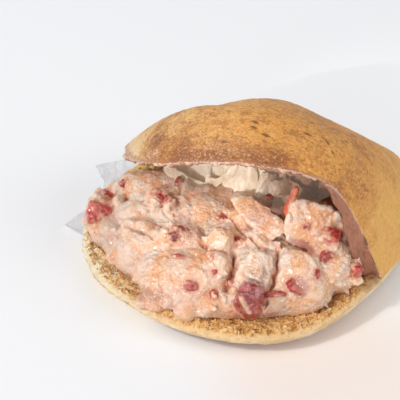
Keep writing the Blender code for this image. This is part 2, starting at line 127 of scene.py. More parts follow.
def lattice(cell, seed):
    """A fixed random whole number for each cell of a grid in space."""
    mixed = cell[..., 0] * 73856093 ^ cell[..., 1] * 19349663 ^ cell[..., 2] * 83492791
    mixed = (mixed ^ (seed * 2654435761)) & 0xFFFFFFFF
    mixed = (mixed ^ (mixed >> 13)) * 1274126177 & 0xFFFFFFFF
    return (mixed ^ (mixed >> 16)) & 4095


def waves(points, size, seed=0):
    """Smooth random waves about -1 to 1, with bumps of the given size."""
    place = points / size
    cell = np.floor(place).astype(np.int64)
    inside = place - cell
    fade = inside**3 * (inside * (inside * 6 - 15) + 10)
    total = np.zeros(points.shape[:-1])
    for corner in np.ndindex(2, 2, 2):
        corner = np.array(corner)
        away = inside - corner
        slope = GRADIENTS[lattice(cell + corner, seed)]
        weight = np.prod(np.where(corner == 1, fade, 1 - fade), axis=-1)
        total += weight * np.sum(slope * away, axis=-1)
    return total * WAVE_HEIGHT


def rough_waves(points, size, seed=0, octaves=3, drop=0.5):
    """Waves with finer and weaker waves on them."""
    total = np.zeros(points.shape[:-1])
    for octave in range(octaves):
        total += waves(points, size / 2**octave, seed + octave) * drop**octave
    return total


def nearest_cell(points, size, seed=0):
    """Distance to the nearest of points strewn one to a cell, and that point's own number."""
    place = points / size
    cell = np.floor(place).astype(np.int64)
    nearest = np.full(points.shape[:-1], 9.0)
    number = np.zeros(points.shape[:-1], np.int64)
    for near in np.ndindex(3, 3, 3):
        there = cell + np.array(near) - 1
        ticket = lattice(there, seed)
        spot = there + 0.5 + 0.35 * GRADIENTS[ticket]
        away = np.linalg.norm(place - spot, axis=-1)
        closer = away < nearest
        nearest = np.where(closer, away, nearest)
        number = np.where(closer, ticket, number)
    return nearest, number


def creases(points, size, seed):
    """Sharp ridges and flat faces between them, as in crumpled paper."""
    total = np.zeros(points.shape[:-1])
    for octave in range(2):
        ridges = 1 - CREASE_DEPTH * np.abs(waves(points, size / 2**octave, seed + octave))
        total += ridges / CREASE_DROP**octave
    return total


# ---- shader helper
class Socket:
    """A shader value that Python's own signs can work on."""

    def __init__(self, sheet, output):
        self.sheet = sheet
        self.output = output

    def maths(self, operation, *values):
        return self.sheet.node("ShaderNodeMath", {"operation": operation}, values)

    def __add__(self, other):
        return self.maths("ADD", self, other)

    def __radd__(self, other):
        return self.maths("ADD", other, self)

    def __sub__(self, other):
        return self.maths("SUBTRACT", self, other)

    def __rsub__(self, other):
        return self.maths("SUBTRACT", other, self)

    def __mul__(self, other):
        return self.maths("MULTIPLY", self, other)

    def __rmul__(self, other):
        return self.maths("MULTIPLY", other, self)

    def size(self):
        """The value without its sign."""
        return self.maths("ABSOLUTE", self)

    def clamp(self):
        return self.sheet.node("ShaderNodeClamp", {}, (self, 0.0, 1.0))

    def step(self, low, high):
        """0 below low, 1 above high, smooth between."""
        settings = {"interpolation_type": "SMOOTHSTEP"}
        return self.sheet.node("ShaderNodeMapRange", settings, (self, low, high, 0.0, 1.0))


class Sheet:
    """A tree of nodes."""

    def __init__(self, tree):
        self.tree = tree

    def node(self, kind, settings, values, output=0):
        """Add a node: its settings first, then the values or links of its inputs."""
        node = self.tree.nodes.new(kind)
        for name, value in settings.items():
            setattr(node, name, value)
        inputs = values.items() if isinstance(values, dict) else enumerate(values)
        for name, value in inputs:
            if isinstance(value, Socket):
                self.tree.links.new(value.output, node.inputs[name])
            elif value is not None:
                node.inputs[name].default_value = value
        return Socket(self, node.outputs[output])

    def vector(self, operation, values, output=0):
        return self.node("ShaderNodeVectorMath", {"operation": operation}, values, output)


class Finish(Sheet):
    """One material: its nodes, and a Principled BSDF that they feed.

    Colours are screen colours, three values 0 to 255, or colours that were mixed before.
    """

    def __init__(self, name, **constants):
        self.material = bpy.data.materials.new(name)
        self.material.use_nodes = True
        super().__init__(self.material.node_tree)
        self.shader = self.tree.nodes["Principled BSDF"]
        for socket, value in constants.items():
            self.shader.inputs[socket.replace("_", " ")].default_value = value

    def place(self):
        return self.node("ShaderNodeTexCoord", {}, (), "Object")

    def attribute(self, name):
        return self.node("ShaderNodeAttribute", {"attribute_name": name}, (), "Fac")

    def attributes(self, *names):
        return [self.attribute(name) for name in names]

    def noise(self, size_mm, detail=3.0, roughness=0.55, stretch=(1.0, 1.0, 1.0), distortion=0.0):
        """Random 0 to 1 with bumps of about the given size."""
        scale = tuple(1000.0 / size_mm / each for each in stretch)
        values = {
            "Vector": self.vector("MULTIPLY", (self.place(), scale)),
            "Scale": 1.0,
            "Detail": detail,
            "Roughness": roughness,
            "Distortion": distortion,
        }
        return self.node("ShaderNodeTexNoise", {}, values, "Fac")

    def cells(self, size_mm, feature="F1"):
        """Distance, 0 to about 1, to the nearest of strewn points or to the edge between two."""
        values = {"Vector": self.place(), "Scale": 1000.0 / size_mm}
        return self.node("ShaderNodeTexVoronoi", {"feature": feature}, values, "Distance")

    def spot(self, middle, half_sizes):
        """1 inside a small oval patch round a place in millimetres, 0 outside, soft between."""
        away = self.vector("SUBTRACT", (self.place(), tuple(MM * each for each in middle)))
        away = self.vector("MULTIPLY", (away, tuple(1.0 / (MM * each) for each in half_sizes)))
        return (1.5 - self.vector("LENGTH", (away,), "Value")).step(0.0, 1.0)

    def mix(self, share, first, second):
        """A colour between two colours."""
        settings = {"data_type": "RGBA", "clamp_factor": True}
        values = {0: share, 6: shader_colour(first), 7: shader_colour(second)}
        return self.node("ShaderNodeMix", settings, values, 2)

    def layers(self, colour, *coats):
        """A colour under coats of others: pairs of how much each one covers and its colour."""
        for share, coat in coats:
            colour = self.mix(share, colour, coat)
        return colour

    def feed(self, socket, value):
        self.tree.links.new(value.output, self.shader.inputs[socket])

    def painted(self, colour, *bumps):
        """The material in a colour, with bumps: pairs of height value and rise in millimetres."""
        self.feed("Base Color", colour)
        normal = None
        for height, rise in bumps:
            values = {"Strength": 1.0, "Distance": rise * MM, "Height": height, "Normal": normal}
            normal = self.node("ShaderNodeBump", {}, values)
        if bumps:
            self.feed("Normal", normal)
        return self.material


# ---- mesh helper
def grid_quads(rows, columns, start, closed):
    """Faces of a rows x columns grid of points, the rows running round if closed."""
    row = np.arange(rows if closed else rows - 1)[:, None]
    here = row * columns + np.arange(columns - 1)
    after = (row + 1) % rows * columns + np.arange(columns - 1)
    return np.stack([here, after, after + 1, here + 1], -1).reshape(-1, 4) + start


def new_mesh(name, points, faces):
    """A mesh from lists of points in millimetres and of faces."""
    mesh = bpy.data.meshes.new(name)
    mesh.from_pydata(np.concatenate(points) * MM, [], np.concatenate(faces).tolist())
    return mesh


def shape_of(*meshes):
    """Meshes as one shape that can be edited."""
    shape = bmesh.new()
    for mesh in meshes:
        shape.from_mesh(mesh)
    return shape


def written(shape, mesh):
    """The mesh, after an edited shape is written into it."""
    shape.to_mesh(mesh)
    shape.free()
    return mesh


def tree_of(*meshes):
    """A tree that finds the nearest place on meshes."""
    shape = shape_of(*meshes)
    tree = BVHTree.FromBMesh(shape)
    shape.free()
    return tree


def mesh_of_grids(name, grids, marks=()):
    """One mesh from grids of points whose shared edges coincide.

    grids: points, closed, material slot and marks of each. A mark that is left out is 0.
    """
    points, faces, slots = [], [], []
    start = 0
    for grid, closed, slot, given in grids:
        rows, columns = grid.shape[:2]
        quads = grid_quads(rows, columns, start, closed)
        faces.append(quads)
        slots.append(np.full(len(quads), slot))
        points.append(grid.reshape(-1, 3))
        start += rows * columns
    mesh = new_mesh(name, points, faces)
    mesh.polygons.foreach_set("material_index", np.concatenate(slots))
    for mark in marks:
        values = [np.broadcast_to(row[3].get(mark, 0.0), row[0].shape[:2]).ravel() for row in grids]
        set_mark(mesh, mark, np.concatenate(values))
    shape = shape_of(mesh)
    bmesh.ops.remove_doubles(shape, verts=shape.verts, dist=JOIN)
    bmesh.ops.recalc_face_normals(shape, faces=shape.faces)
    written(shape, mesh).shade_smooth()
    return mesh


def add_piece(name, mesh, *finishes):
    for finish in finishes:
        mesh.materials.append(finish)
    piece = bpy.data.objects.new(name, mesh)
    bpy.context.scene.collection.objects.link(piece)
    return piece


def numbers_of(items, field, width=3, kind=np.float32):
    """A row of numbers for each vertex, edge or value of a mesh."""
    flat = np.empty(len(items) * width, kind)
    items.foreach_get(field, flat)
    return flat.reshape(-1, width)


def points_of(mesh):
    return numbers_of(mesh.vertices, "co").astype(float) / MM


def normals_of(mesh):
    return numbers_of(mesh.vertices, "normal").astype(float)


def edges_of(mesh):
    return numbers_of(mesh.edges, "vertices", 2, np.int32)


def mark_of(mesh, name):
    return numbers_of(mesh.attributes[name].data, "value", 1)[:, 0]


def set_points(mesh, points):
    mesh.vertices.foreach_set("co", (points * MM).astype(np.float32).ravel())
    mesh.update()


def set_mark(mesh, name, values):
    mark = mesh.attributes.get(name) or mesh.attributes.new(name, "FLOAT", "POINT")
    mark.data.foreach_set("value", np.asarray(values, np.float32))


# ---- bread: its form
def plan_radius(azimuth):
    """Radius of the loaf's outline, seen from above."""
    return (
        BREAD_RADIUS
        - OVAL * np.cos(2 * azimuth)
        + OVAL_SKEW * np.sin(2 * azimuth)
        - SQUARENESS * np.cos(4 * azimuth)
    )


def azimuth_of(places):
    """Direction from the loaf's middle to places, 0 to a full turn."""
    return np.arctan2(places[..., 1], places[..., 0]) % (2 * np.pi)


def slit_depth(azimuth):
    """0 where the bread is closed, rising to 1 along the middle of the slit."""
    share = (np.degrees(azimuth) - SLIT_LEFT) / (360.0 - SLIT_LEFT)
    return np.where((share > 0) & (share < 1), np.sin(np.pi * np.clip(share, 0, 1)), 0.0)


def rim_height(azimuth):
    """Height of the lower half's outer edge."""
    return SEAM_HEIGHT - RIM_DIP * smooth_step(1.6 * slit_depth(azimuth))


def on_plan(azimuth, share, height):
    """The point at a share of the outline's radius, at a height."""
    radius = plan_radius(azimuth) * share
    height = np.broadcast_to(height, np.shape(radius))
    return np.stack([radius * np.cos(azimuth), radius * np.sin(azimuth), height], -1)


def by_azimuth(table, azimuth):
    """A smooth value from a table of azimuths in degrees that runs once round."""
    degrees, values = np.array(table, float).T
    degrees = np.concatenate([[degrees[-2] - 360], degrees, [degrees[1] + 360]])
    values = np.concatenate([[values[-2]], values, [values[1]]])
    slopes = np.gradient(values, degrees)
    place = np.searchsorted(degrees, np.degrees(azimuth), side="right") - 1
    place = np.clip(place, 1, len(degrees) - 3)
    span = degrees[place + 1] - degrees[place]
    along = (np.degrees(azimuth) - degrees[place]) / span
    return (
        (1 + 2 * along) * (1 - along) ** 2 * values[place]
        + along * (1 - along) ** 2 * span * slopes[place]
        + along**2 * (3 - 2 * along) * values[place + 1]
        - along**2 * (1 - along) * span * slopes[place + 1]
    )


def dome(azimuth, share):
    """The upper crust, from the apex (share 0) out to the loaf's outline (share 1)."""
    puff = by_azimuth(PUFF, azimuth)
    away = smooth_step(share / CAP_SHARE)
    fullness = CAP_FULLNESS + (by_azimuth(FULLNESS, azimuth) - CAP_FULLNESS) * away
    fall = (1 - puff) * share**fullness + puff * share**PUFF_STEEPNESS
    nose = np.exp(-(((np.degrees(azimuth) - NOSE_AZIMUTH) / NOSE_SPREAD) ** 2))
    nose *= smooth_step((np.degrees(azimuth) - SLIT_LEFT) / NOSE_SPREAD)
    apex = np.array(APEX)
    crust = apex + (on_plan(azimuth, 1.0, SEAM_HEIGHT) - apex) * share[..., None]
    rise = NOSE_RISE * nose * share**NOSE_CROWDING
    crust[..., 2] = APEX[2] - (APEX[2] - SEAM_HEIGHT) * fall + rise
    return crust


def lip_share(azimuth):
    """How far out the upper half reaches: to the outline, or to the lip of the slit."""
    reach = np.minimum(by_azimuth(LIP, azimuth), 1.0)
    return np.where(np.degrees(azimuth) > SLIT_LEFT, reach, 1.0)


def outer_top(azimuth, step):
    """The crust of the upper half, from the apex (step 0) to its edge (step 1)."""
    return dome(azimuth, lip_share(azimuth) * (1 - (1 - step) ** EDGE_CROWDING))


def outward(grid):
    """Unit normals of a grid whose first axis runs round and closes."""
    around = np.roll(grid, -1, axis=0) - np.roll(grid, 1, axis=0)
    down = np.gradient(grid, axis=1)
    normal = np.cross(down, around)
    normal[:, 0] = normal[:, 1].mean(axis=0)
    normal /= np.linalg.norm(normal, axis=-1, keepdims=True) + 1e-9
    return normal


def closed_share(azimuth):
    """1 where the bread is closed and near the slit's ends, 0 along the slit."""
    return 1 - smooth_step(3.0 * slit_depth(azimuth))


def inner_seam(azimuth):
    """Where roof and floor of the pocket meet at the back."""
    return on_plan(azimuth, 1 - WALL / plan_radius(azimuth), SEAM_HEIGHT - SEAM_DROP)


def inner_top(azimuth, step):
    """The pocket's roof."""
    crust = outer_top(azimuth, step)
    thickness = ROOF + (LIP_THICKNESS - ROOF) * smooth_step((step - 0.45) / 0.55)
    roof = crust - outward(crust) * thickness[..., None]
    pull = (closed_share(azimuth) * step**5)[..., None]
    return roof + (inner_seam(azimuth) - roof) * pull


def outer_bottom(azimuth, step):
    """The lower crust, from its rim (step 0) to the middle of the flat underside."""
    bend = np.clip(step / BEND_STEPS, 0, 1) * np.pi / 2
    share = FLAT_SHARE + (1 - FLAT_SHARE) * np.cos(bend)
    height = rim_height(azimuth) * (1 - np.sin(bend))
    flat = FLAT_SHARE * (1 - step) / (1 - BEND_STEPS)
    return on_plan(azimuth, np.where(step > BEND_STEPS, flat, share), height)


def inner_bottom(azimuth, step):
    """The pocket's floor, from its rim (step 0) to its middle."""
    cut = on_plan(azimuth, 1 - RIM_WIDTH / plan_radius(azimuth), rim_height(azimuth) + RIM_RISE)
    closed = closed_share(azimuth)[..., None]
    start = cut + (inner_seam(azimuth) - cut) * closed
    bend = (1 - step) ** (3 + 3 * closed[..., 0])
    floor = start * (1 - step)[..., None]
    floor[..., 2] = FLOOR + (start[..., 2] - FLOOR) * bend
    return floor


def strip_between(first, second, rings):
    """Rings of points from one edge to another."""
    step = np.linspace(0, 1, rings + 1)[None, :, None]
    return first[:, None] + (second - first)[:, None] * step


# ---- bread: its surface
BREAD_MARKS = ("band", "from_crust", "lip", "crumb", "rim", "roof")
CRUST, UNDER_CRUST, CRUMB, TORN_LIP = range(4)  # the loaf's material slots


def bread_grids():
    """The loaf as grids of points, with what each point's surface is."""
    slit_cells = round(BREAD_AZIMUTHS * (360 - SLIT_LEFT) / 360)
    slit = np.radians(np.linspace(SLIT_LEFT, 360, slit_cells + 1))
    back = np.radians(np.linspace(0, SLIT_LEFT, BREAD_AZIMUTHS - slit_cells + 1))[:-1]
    around = np.concatenate([slit[:-1], back])

    def steps(rings, crowding=1.0):
        return np.meshgrid(around, np.linspace(0, 1, rings + 1) ** crowding, indexing="ij")

    top = steps(TOP_RINGS)
    under_roof = steps(ROOF_RINGS)
    under = steps(UNDER_RINGS)
    inside = steps(FLOOR_RINGS, FLOOR_CROWDING)
    crust, roof = outer_top(*top), inner_top(*under_roof)
    underside, floor = outer_bottom(*under), inner_bottom(*inside)
    ends = np.arange(slit_cells + 1) % len(around)
    lip = strip_between(crust[ends, -1], roof[ends, -1], LIP_RINGS)
    rim = strip_between(underside[ends, 0], floor[ends, 0], LIP_RINGS)
    near_lip = top[1] * smooth_step(4 * slit_depth(top[0]))
    near_rim = (1 - under[1]) ** 6
    from_crust = np.linalg.norm(lip - lip[:, :1], axis=-1)
    across_rim = np.linspace(1, 0, LIP_RINGS + 1)
    return (
        (crust, True, CRUST, {"lip": near_lip}),
        (underside, True, UNDER_CRUST, {"band": near_rim, "rim": near_rim}),
        (roof, True, CRUMB, {"from_crust": 9.0, "lip": under_roof[1], "crumb": 1.0, "roof": 1.0}),
        (floor, True, CRUMB, {"crumb": 1.0, "rim": (1 - inside[1]) ** 4}),
        (lip, False, TORN_LIP, {"from_crust": from_crust, "lip": 1.0, "crumb": 1.0}),
        (rim, False, CRUMB, {"band": across_rim, "crumb": 1.0, "rim": 1.0}),
    )


def bread_mesh():
    mesh = mesh_of_grids("bread_loaf", bread_grids(), BREAD_MARKS)
    points, normals = points_of(mesh), normals_of(mesh)
    x, y, height = points.T
    lip, crumb, rim, band = [mark_of(mesh, name) for name in ("lip", "crumb", "rim", "band")]
    base = smooth_step(height / 6)
    swell = 0.55 * rough_waves(points, 24, 11) * (1 - lip)
    wrinkle = 0.16 * rough_waves(points * (1, 1, 1.8), 5.0, 21) + 0.10 * waves(points, 2.2, 25)
    torn = 0.9 * rough_waves(points, 3.0, 31, 4, 0.65) + 1.3 * waves(points, 7.5, 37)
    ragged = torn * smooth_step((lip - 0.95) / 0.04)
    sponge = 0.9 * rough_waves(points, 4.2, 41, 4, 0.65) * crumb * (1 - lip)
    hollow = nearest_cell(points, 3.0, 51)[0]
    pores = -1.1 * smooth_step((0.42 - hollow) / 0.3) * crumb * (1 - lip) * (1 - 0.8 * rim)
    smooth_right = 0.3 + 0.45 * smooth_step((x + 20) / 30)
    fuzz = 0.9 * rough_waves(points, 1.8, 61, 3, 0.75) * rim * (1 - smooth_right * band)
    outside = 1 - crumb
    rise = base * (swell * outside + wrinkle * outside + ragged + sponge + pores + fuzz)
    set_points(mesh, points + normals * rise[:, None])
    set_mark(mesh, "pits", rise)
    # 0 at the loaf's left to 1 at its right: colours run from pale at the left to deeper orange and
    # brown at the right.
    set_mark(mesh, "toward_right", smooth_step((x + 45) / 70))
    # Painted shade: the mark under darkens the lower crust near the table at the right.
    set_mark(mesh, "under", smooth_step((5.2 - height) / 1.6) * smooth_step((x + 10) / 20))
    mark_browning(mesh, points, lip)
    return mesh


def mark_browning(mesh, points, lip):
    """How brown the oven left each place: most along the front of the raised half."""
    x, y, height = points.T
    azimuth = np.arctan2(y - APEX[1], x - APEX[0])
    top = smooth_step((height - 34) / 30)
    facing = np.cos(azimuth - math.radians(238))
    front = smooth_step(0.5 + 0.75 * facing) * smooth_step((height - 40) / 16)
    brown = 0.36 * top + 0.42 * front * smooth_step((lip - 0.25) / 0.6)
    brown += 0.16 * rough_waves(points, 16, 71) + 0.10 * waves(points, 6, 75)
    pale_wall = smooth_step((30 - height) / 26)
    set_mark(mesh, "browning", np.clip(brown + 0.12 - 0.32 * pale_wall, 0, 1))


# ---- its crumbs
CRUMBS = {  # the named inputs of the crumbs' node tree
    "Crumbs per square metre": 560000.0,
    "Size": 0.0006,
    "Unevenness": 0.0008,
    "Seed": 3,
}
CRUMB_LEAST = (0.4, 0.4, 0.3)  # least and most size along each of a crumb's own axes
CRUMB_MOST = (1.5, 1.3, 1.0)
FULL_TURN = (6.283, 6.283, 6.283)
CRUMB_UNEVENNESS_SCALE = 1100.0
CRUMBED_RIM = 0.5  # crumbs lie where the mark rim is above this
CRUMBED_BAND = 0.45  # and the mark band below this,
CRUMBED_TURNS = (200, 350)  # between these azimuths


def crumb_ground(bread):
    """The strip of the lower half's rim and floor on which crumbs lie."""
    shape = shape_of(bread)
    rim, band = shape.verts.layers.float["rim"], shape.verts.layers.float["band"]

    def bare(face):
        middle = face.calc_center_median()
        turn = math.degrees(math.atan2(middle.y, middle.x)) % 360
        on_rim = all(each[rim] > CRUMBED_RIM and each[band] < CRUMBED_BAND for each in face.verts)
        in_front = CRUMBED_TURNS[0] < turn < CRUMBED_TURNS[1]
        return not (face.material_index == CRUMB and on_rim and in_front)

    bmesh.ops.delete(shape, geom=[face for face in shape.faces if bare(face)], context="FACES")
    return written(shape, bpy.data.meshes.new("crumb_ground"))


def crumbs_tree(finish):
    """Uneven crumbs strewn over a surface, each turned and stretched at random."""
    tree = bpy.data.node_groups.new("strewn_crumbs", "GeometryNodeTree")
    tree.interface.new_socket("Ground", in_out="INPUT", socket_type="NodeSocketGeometry")
    for name, value in CRUMBS.items():
        kind = "NodeSocketInt" if isinstance(value, int) else "NodeSocketFloat"
        tree.interface.new_socket(name, in_out="INPUT", socket_type=kind)
    tree.interface.new_socket("Crumbs", in_out="OUTPUT", socket_type="NodeSocketGeometry")
    sheet = Sheet(tree)
    given = tree.nodes.new("NodeGroupInput")
    ground, density, size, unevenness, seed = [Socket(sheet, out) for out in given.outputs[:5]]
    strewn = {"Mesh": ground, "Density": density, "Seed": seed}
    points = sheet.node("GeometryNodeDistributePointsOnFaces", {}, strewn)
    ball = sheet.node("GeometryNodeMeshIcoSphere", {}, {"Radius": size, "Subdivisions": 2})
    where = sheet.node("GeometryNodeInputPosition", {}, ())
    noise = {"Vector": where, "Scale": CRUMB_UNEVENNESS_SCALE}
    noise = sheet.node("ShaderNodeTexNoise", {}, noise, "Color")
    shift = sheet.vector("SUBTRACT", (noise, (0.5, 0.5, 0.5)))
    shift = sheet.vector("SCALE", {0: shift, "Scale": unevenness})
    crumb = sheet.node("GeometryNodeSetPosition", {}, {"Geometry": ball, "Offset": shift})
    crumb = sheet.node("GeometryNodeSetShadeSmooth", {}, {0: crumb})
    random_vector = {"data_type": "FLOAT_VECTOR"}
    turn = sheet.node("FunctionNodeRandomValue", random_vector, {1: FULL_TURN, "Seed": seed})
    stretch = {0: CRUMB_LEAST, 1: CRUMB_MOST, "Seed": seed}
    stretch = sheet.node("FunctionNodeRandomValue", random_vector, stretch)
    laid = {"Points": points, "Instance": crumb, "Rotation": turn, "Scale": stretch}
    crumbs = sheet.node("GeometryNodeInstanceOnPoints", {}, laid)
    crumbs = sheet.node("GeometryNodeRealizeInstances", {}, (crumbs,))
    crumbs = sheet.node("GeometryNodeSetMaterial", {}, {"Geometry": crumbs, "Material": finish})
    tree.links.new(crumbs.output, tree.nodes.new("NodeGroupOutput").inputs[0])
    return tree


def crumbs_mesh(bread, finish):
    tree = crumbs_tree(finish)
    settings = {"node_group": tree}
    for item in tree.interface.items_tree:
        if item.name in CRUMBS:
            settings[item.identifier] = CRUMBS[item.name]
    return evaluated_copy("bread_crumbs", crumb_ground(bread), ("strew crumbs", "NODES", settings))


def crumbs_finish():
    """Crumbs of bread, and some of cheese."""
    crumbs = Finish("loose_crumbs", Roughness=0.8)
    kinds = crumbs.noise(2.6, 2, 0.5)
    colour = crumbs.mix(kinds.step(0.4, 0.52), (190, 130, 70), (230, 182, 114))
    colour = crumbs.mix(kinds.step(0.58, 0.64), colour, (244, 206, 164))
    return crumbs.painted(colour, (crumbs.noise(0.6, 2), 0.2))


# ---- bread: its materials
DASHES = (  # middle and half length of each dark dash on the crust
    ((19.9, -20.3, 75.1), 2.1), ((39.3, -7.1, 72.5), 2.0), ((41.1, 4.7, 67.3), 1.5),
    ((43.1, -9.1, 70.6), 1.8), ((44.6, 14.0, 60.2), 1.4), ((12.1, -16.2, 76.0), 1.8),
    ((7.4, -29.2, 71.8), 1.5), ((32.1, -9.9, 74.9), 1.8), ((13.5, -19.0, 75.5), 1.4),
)
SCORCH = ((-30.0, -25.0, 55.0), (5.5, 3.5, 4.5))  # the dark patch near the left corner
TORN_PATCH = ((-27.0, -32.5, 52.5), (9.0, 3.5, 4.0))  # pale flecks of torn crust beside it
FLECKED = ((8.0, -33.0, 68.0), (24.0, 8.0, 8.0))  # where pale flecks lie over the brown crust
YELLOW_WALL = ((-60, 3, 13), (9, 16, 10))  # the yellow crumb beside the heap at the upper left


def crust_finish():
    """Baked crust: mottled golden brown with a suede grain, dark dashes and a pale torn edge."""
    crust = Finish(
        "baked_crust",
        Roughness=0.6,
        Subsurface_Weight=0.05,
        Subsurface_Radius=(0.003, 0.0015, 0.0008),
    )
    brown, toward_right, lip = crust.attributes("browning", "toward_right", "lip")
    clouds = crust.noise(10, 4)
    mottle = crust.noise(3.0, 4, 0.68, distortion=0.5)
    grain = crust.noise(1.15, 4, 0.75)
    streaks = crust.noise(1.1, 3, 0.6, stretch=(3.2, 1.6, 1.0))
    fine = crust.noise(0.8, 3, 0.7)
    baked = (brown + (clouds - 0.5) * 0.34 + (mottle - 0.5) * 0.85).clamp()
    pale = crust.mix(toward_right, (250, 224, 182), (255, 194, 100))
    golden = crust.mix(toward_right, (238, 192, 128), (238, 166, 80))
    shady = (0.48 - grain).step(0.0, 0.2) * (0.25 + brown.step(0.1, 0.5) * 0.45)
    streaky = (streaks - 0.52).step(0.0, 0.13) * (0.14 + brown.step(0.1, 0.5) * 0.42)
    dark = (streaks - 0.7).step(0.0, 0.08) * brown.step(0.3, 0.6) * 0.6
    for middle, reach in DASHES:
        dark = dark + crust.spot(middle, (reach, 0.6, 0.6)) * (mottle + 0.6)
    scorch = crust.spot(*SCORCH) * (mottle - 0.36).step(0.0, 0.2)
    flecks = crust.spot(*FLECKED) * 0.5 + crust.spot(*TORN_PATCH) * 1.6
    flecks = (flecks * (fine - 0.5).step(0.0, 0.12)).clamp()
    edge = (lip + (mottle - 0.5) * 0.2).step(0.85, 0.92)
    torn = (lip + (grain - 0.5) * 0.34).step(0.94, 1.0)
    colour = crust.layers(
        crust.mix(baked.step(0.0, 0.42), pale, golden),
        (baked.step(0.36, 0.8), (188, 120, 58)),
        (baked.step(0.7, 1.05), (142, 80, 40)),
        ((grain - 0.5).step(0.0, 0.16) * 0.6, (248, 204, 136)),
        (shady, (146, 82, 36)),
        (streaky, (170, 94, 38)),
        (dark.clamp() * 0.7, (112, 62, 34)),
        (scorch * 0.6, (132, 80, 62)),
        (flecks * 0.75, (246, 214, 188)),
        (edge * 0.6, (184, 122, 88)),
        (torn * 0.8, (242, 214, 194)),
    )
    crust.feed("Roughness", 0.48 + grain * 0.25)
    return crust.painted(colour, (mottle, 0.9), (grain, 0.8), (1 - dark.clamp(), 0.3))


def under_crust_finish():
    """The lower half's thin, pale crust, with painted shade low along its edge at the right."""
    crust = Finish("pale_under_crust", Roughness=0.65)
    clouds = crust.noise(11, 4)
    grain = crust.noise(1.1, 3, 0.65)
    colour = crust.layers(
        crust.mix(clouds.step(0.35, 0.7), (238, 218, 180), (220, 184, 132)),
        ((grain - 0.5).step(0.0, 0.25) * 0.4, (178, 122, 70)),
        # Painted shade low on the rim's outside, where it meets the table.
        (crust.attribute("under") * 0.85, (150, 104, 72)),
    )
    return crust.painted(colour, (grain, 0.4))


def crumb_finish():
    """Torn, spongy crumb: cream at the rim, browner further in, mauve-brown and partly painted shade
    under the roof.
    """
    crumb = Finish(
        "soft_crumb",
        Roughness=0.85,
        Subsurface_Weight=0.1,
        Subsurface_Radius=(0.003, 0.002, 0.001),
    )
    pits, toward_right, rim, band, roof = crumb.attributes("pits", "toward_right", "rim", "band", "roof")
    speckle = crumb.noise(1.6, 4, 0.7)
    patches = crumb.noise(8, 3, 0.6)
    light = crumb.mix(toward_right, (252, 240, 212), (244, 200, 134))
    shade = crumb.mix(toward_right, (240, 220, 170), (204, 142, 76))
    brown = crumb.mix(toward_right, (232, 198, 138), (182, 112, 54))
    smooth = crumb.mix(toward_right, (248, 234, 206), (242, 206, 154))
    inner = (1 - rim + (patches - 0.5) * 0.6).step(0.15, 0.7)
    colour = crumb.layers(
        crumb.mix(speckle.step(0.36, 0.62), shade, light),
        (inner * (0.5 + toward_right * 0.2), brown),
        # Painted shade in the pores and painted highlights on the raised crumb, from the relief the
        # mesh was given.
        ((0 - pits).step(0.2, 1.1) * 0.65, (140, 92, 44)),
        (pits.step(0.3, 1.1) * 0.5, (250, 226, 178)),
        ((band + (patches - 0.5) * 0.4).step(0.3, 0.65) * 0.9, smooth),
        ((0.46 - speckle).step(0.0, 0.14) * 0.35, (186, 138, 80)),
        (crumb.spot(*YELLOW_WALL) * 0.8, (250, 208, 112)),
        # Mauve-brown under the roof: partly the crumb's own colour, partly painted shade.
        (roof * 0.85, (170, 112, 88)),
    )
    return crumb.painted(colour, (speckle, 0.8), (crumb.noise(0.7, 2), 0.3))


def lip_finish():
    """The thin torn edge of the raised half: pale flecks along the crust, brown inside."""
    edge = Finish("torn_lip", Roughness=0.75)
    flecks = edge.noise(1.6, 3, 0.7)
    inside = (edge.attribute("from_crust") + flecks * 2.0).step(1.3, 2.4)
    colour = edge.mix(flecks.step(0.35, 0.65), (196, 138, 108), (240, 208, 186))
    colour = edge.mix(inside * 0.9, colour, (168, 108, 80))
    return edge.painted(colour, (flecks, 0.7))


# ---- stage and light
CAMERA_ELEVATION = 37.0
CAMERA_AZIMUTH = 37.0
CAMERA_DISTANCE = 0.512  # metres
CAMERA_TARGET = Vector((-0.0354, 0.0118, 0.0))
LENS = 100.0
LAMP_DISTANCE = 3.0  # metres
LAMPS = (  # name, azimuth, elevation, size in metres, watts and colour
    ("key", -24.0, 45.0, 1.0, 22.0, (1.0, 0.995, 0.99)),
    ("front_fill", 14.0, 24.0, 1.2, 11.0, (1.0, 0.99, 0.98)),
    ("side_fill", 105.0, 36.0, 1.6, 15.0, (1.0, 0.97, 0.93)),
    ("glints", -24.0, 46.0, 0.16, 18.5, (1.0, 0.995, 0.985)),
)
MOUTH_MIDDLE = (2.0, -8.0, 33.0)  # where a narrow spot of light reaches into the mouth
MOUTH_AZIMUTH = 10.0
MOUTH_ELEVATION = 23.0
MOUTH_CONE = 1.6  # degrees
MOUTH_WATTS = 245.0
MOUTH_COLOUR = (1.0, 0.97, 0.94)
MOUTH_SOFTNESS = 0.03  # metres
SKY = (0.985, 0.995, 1.02, 1.0)
SKY_STRENGTH = 0.52
FLOOR_RADIUS = 3.0  # metres
FLOOR_SIDES = 96
PAINTED_WARM_BOUNCE = ((72, -46, 0), (42, 42, 40))  # where a painted reflection of the bread's warm light tints the floor
PAINTED_GLOW_PATCH = ((0, 0, 0), (62, 60, 40))  # the floor under the loaf, where it glows as painted light
PAINTED_GLOW_UNDER_LOAF = (0.085, 0.082, 0.08, 1.0)  # painted light: how brightly the floor glows under the loaf, standing in for light that a white room throws back under it
BLACK = (0, 0, 0, 1)


def towards(azimuth, elevation):
    """Unit vector from the object to a place at an azimuth right of the front."""
    turn, rise = math.radians(azimuth), math.radians(elevation)
    return Vector((math.sin(turn) * math.cos(rise), -math.cos(turn) * math.cos(rise), math.sin(rise)))


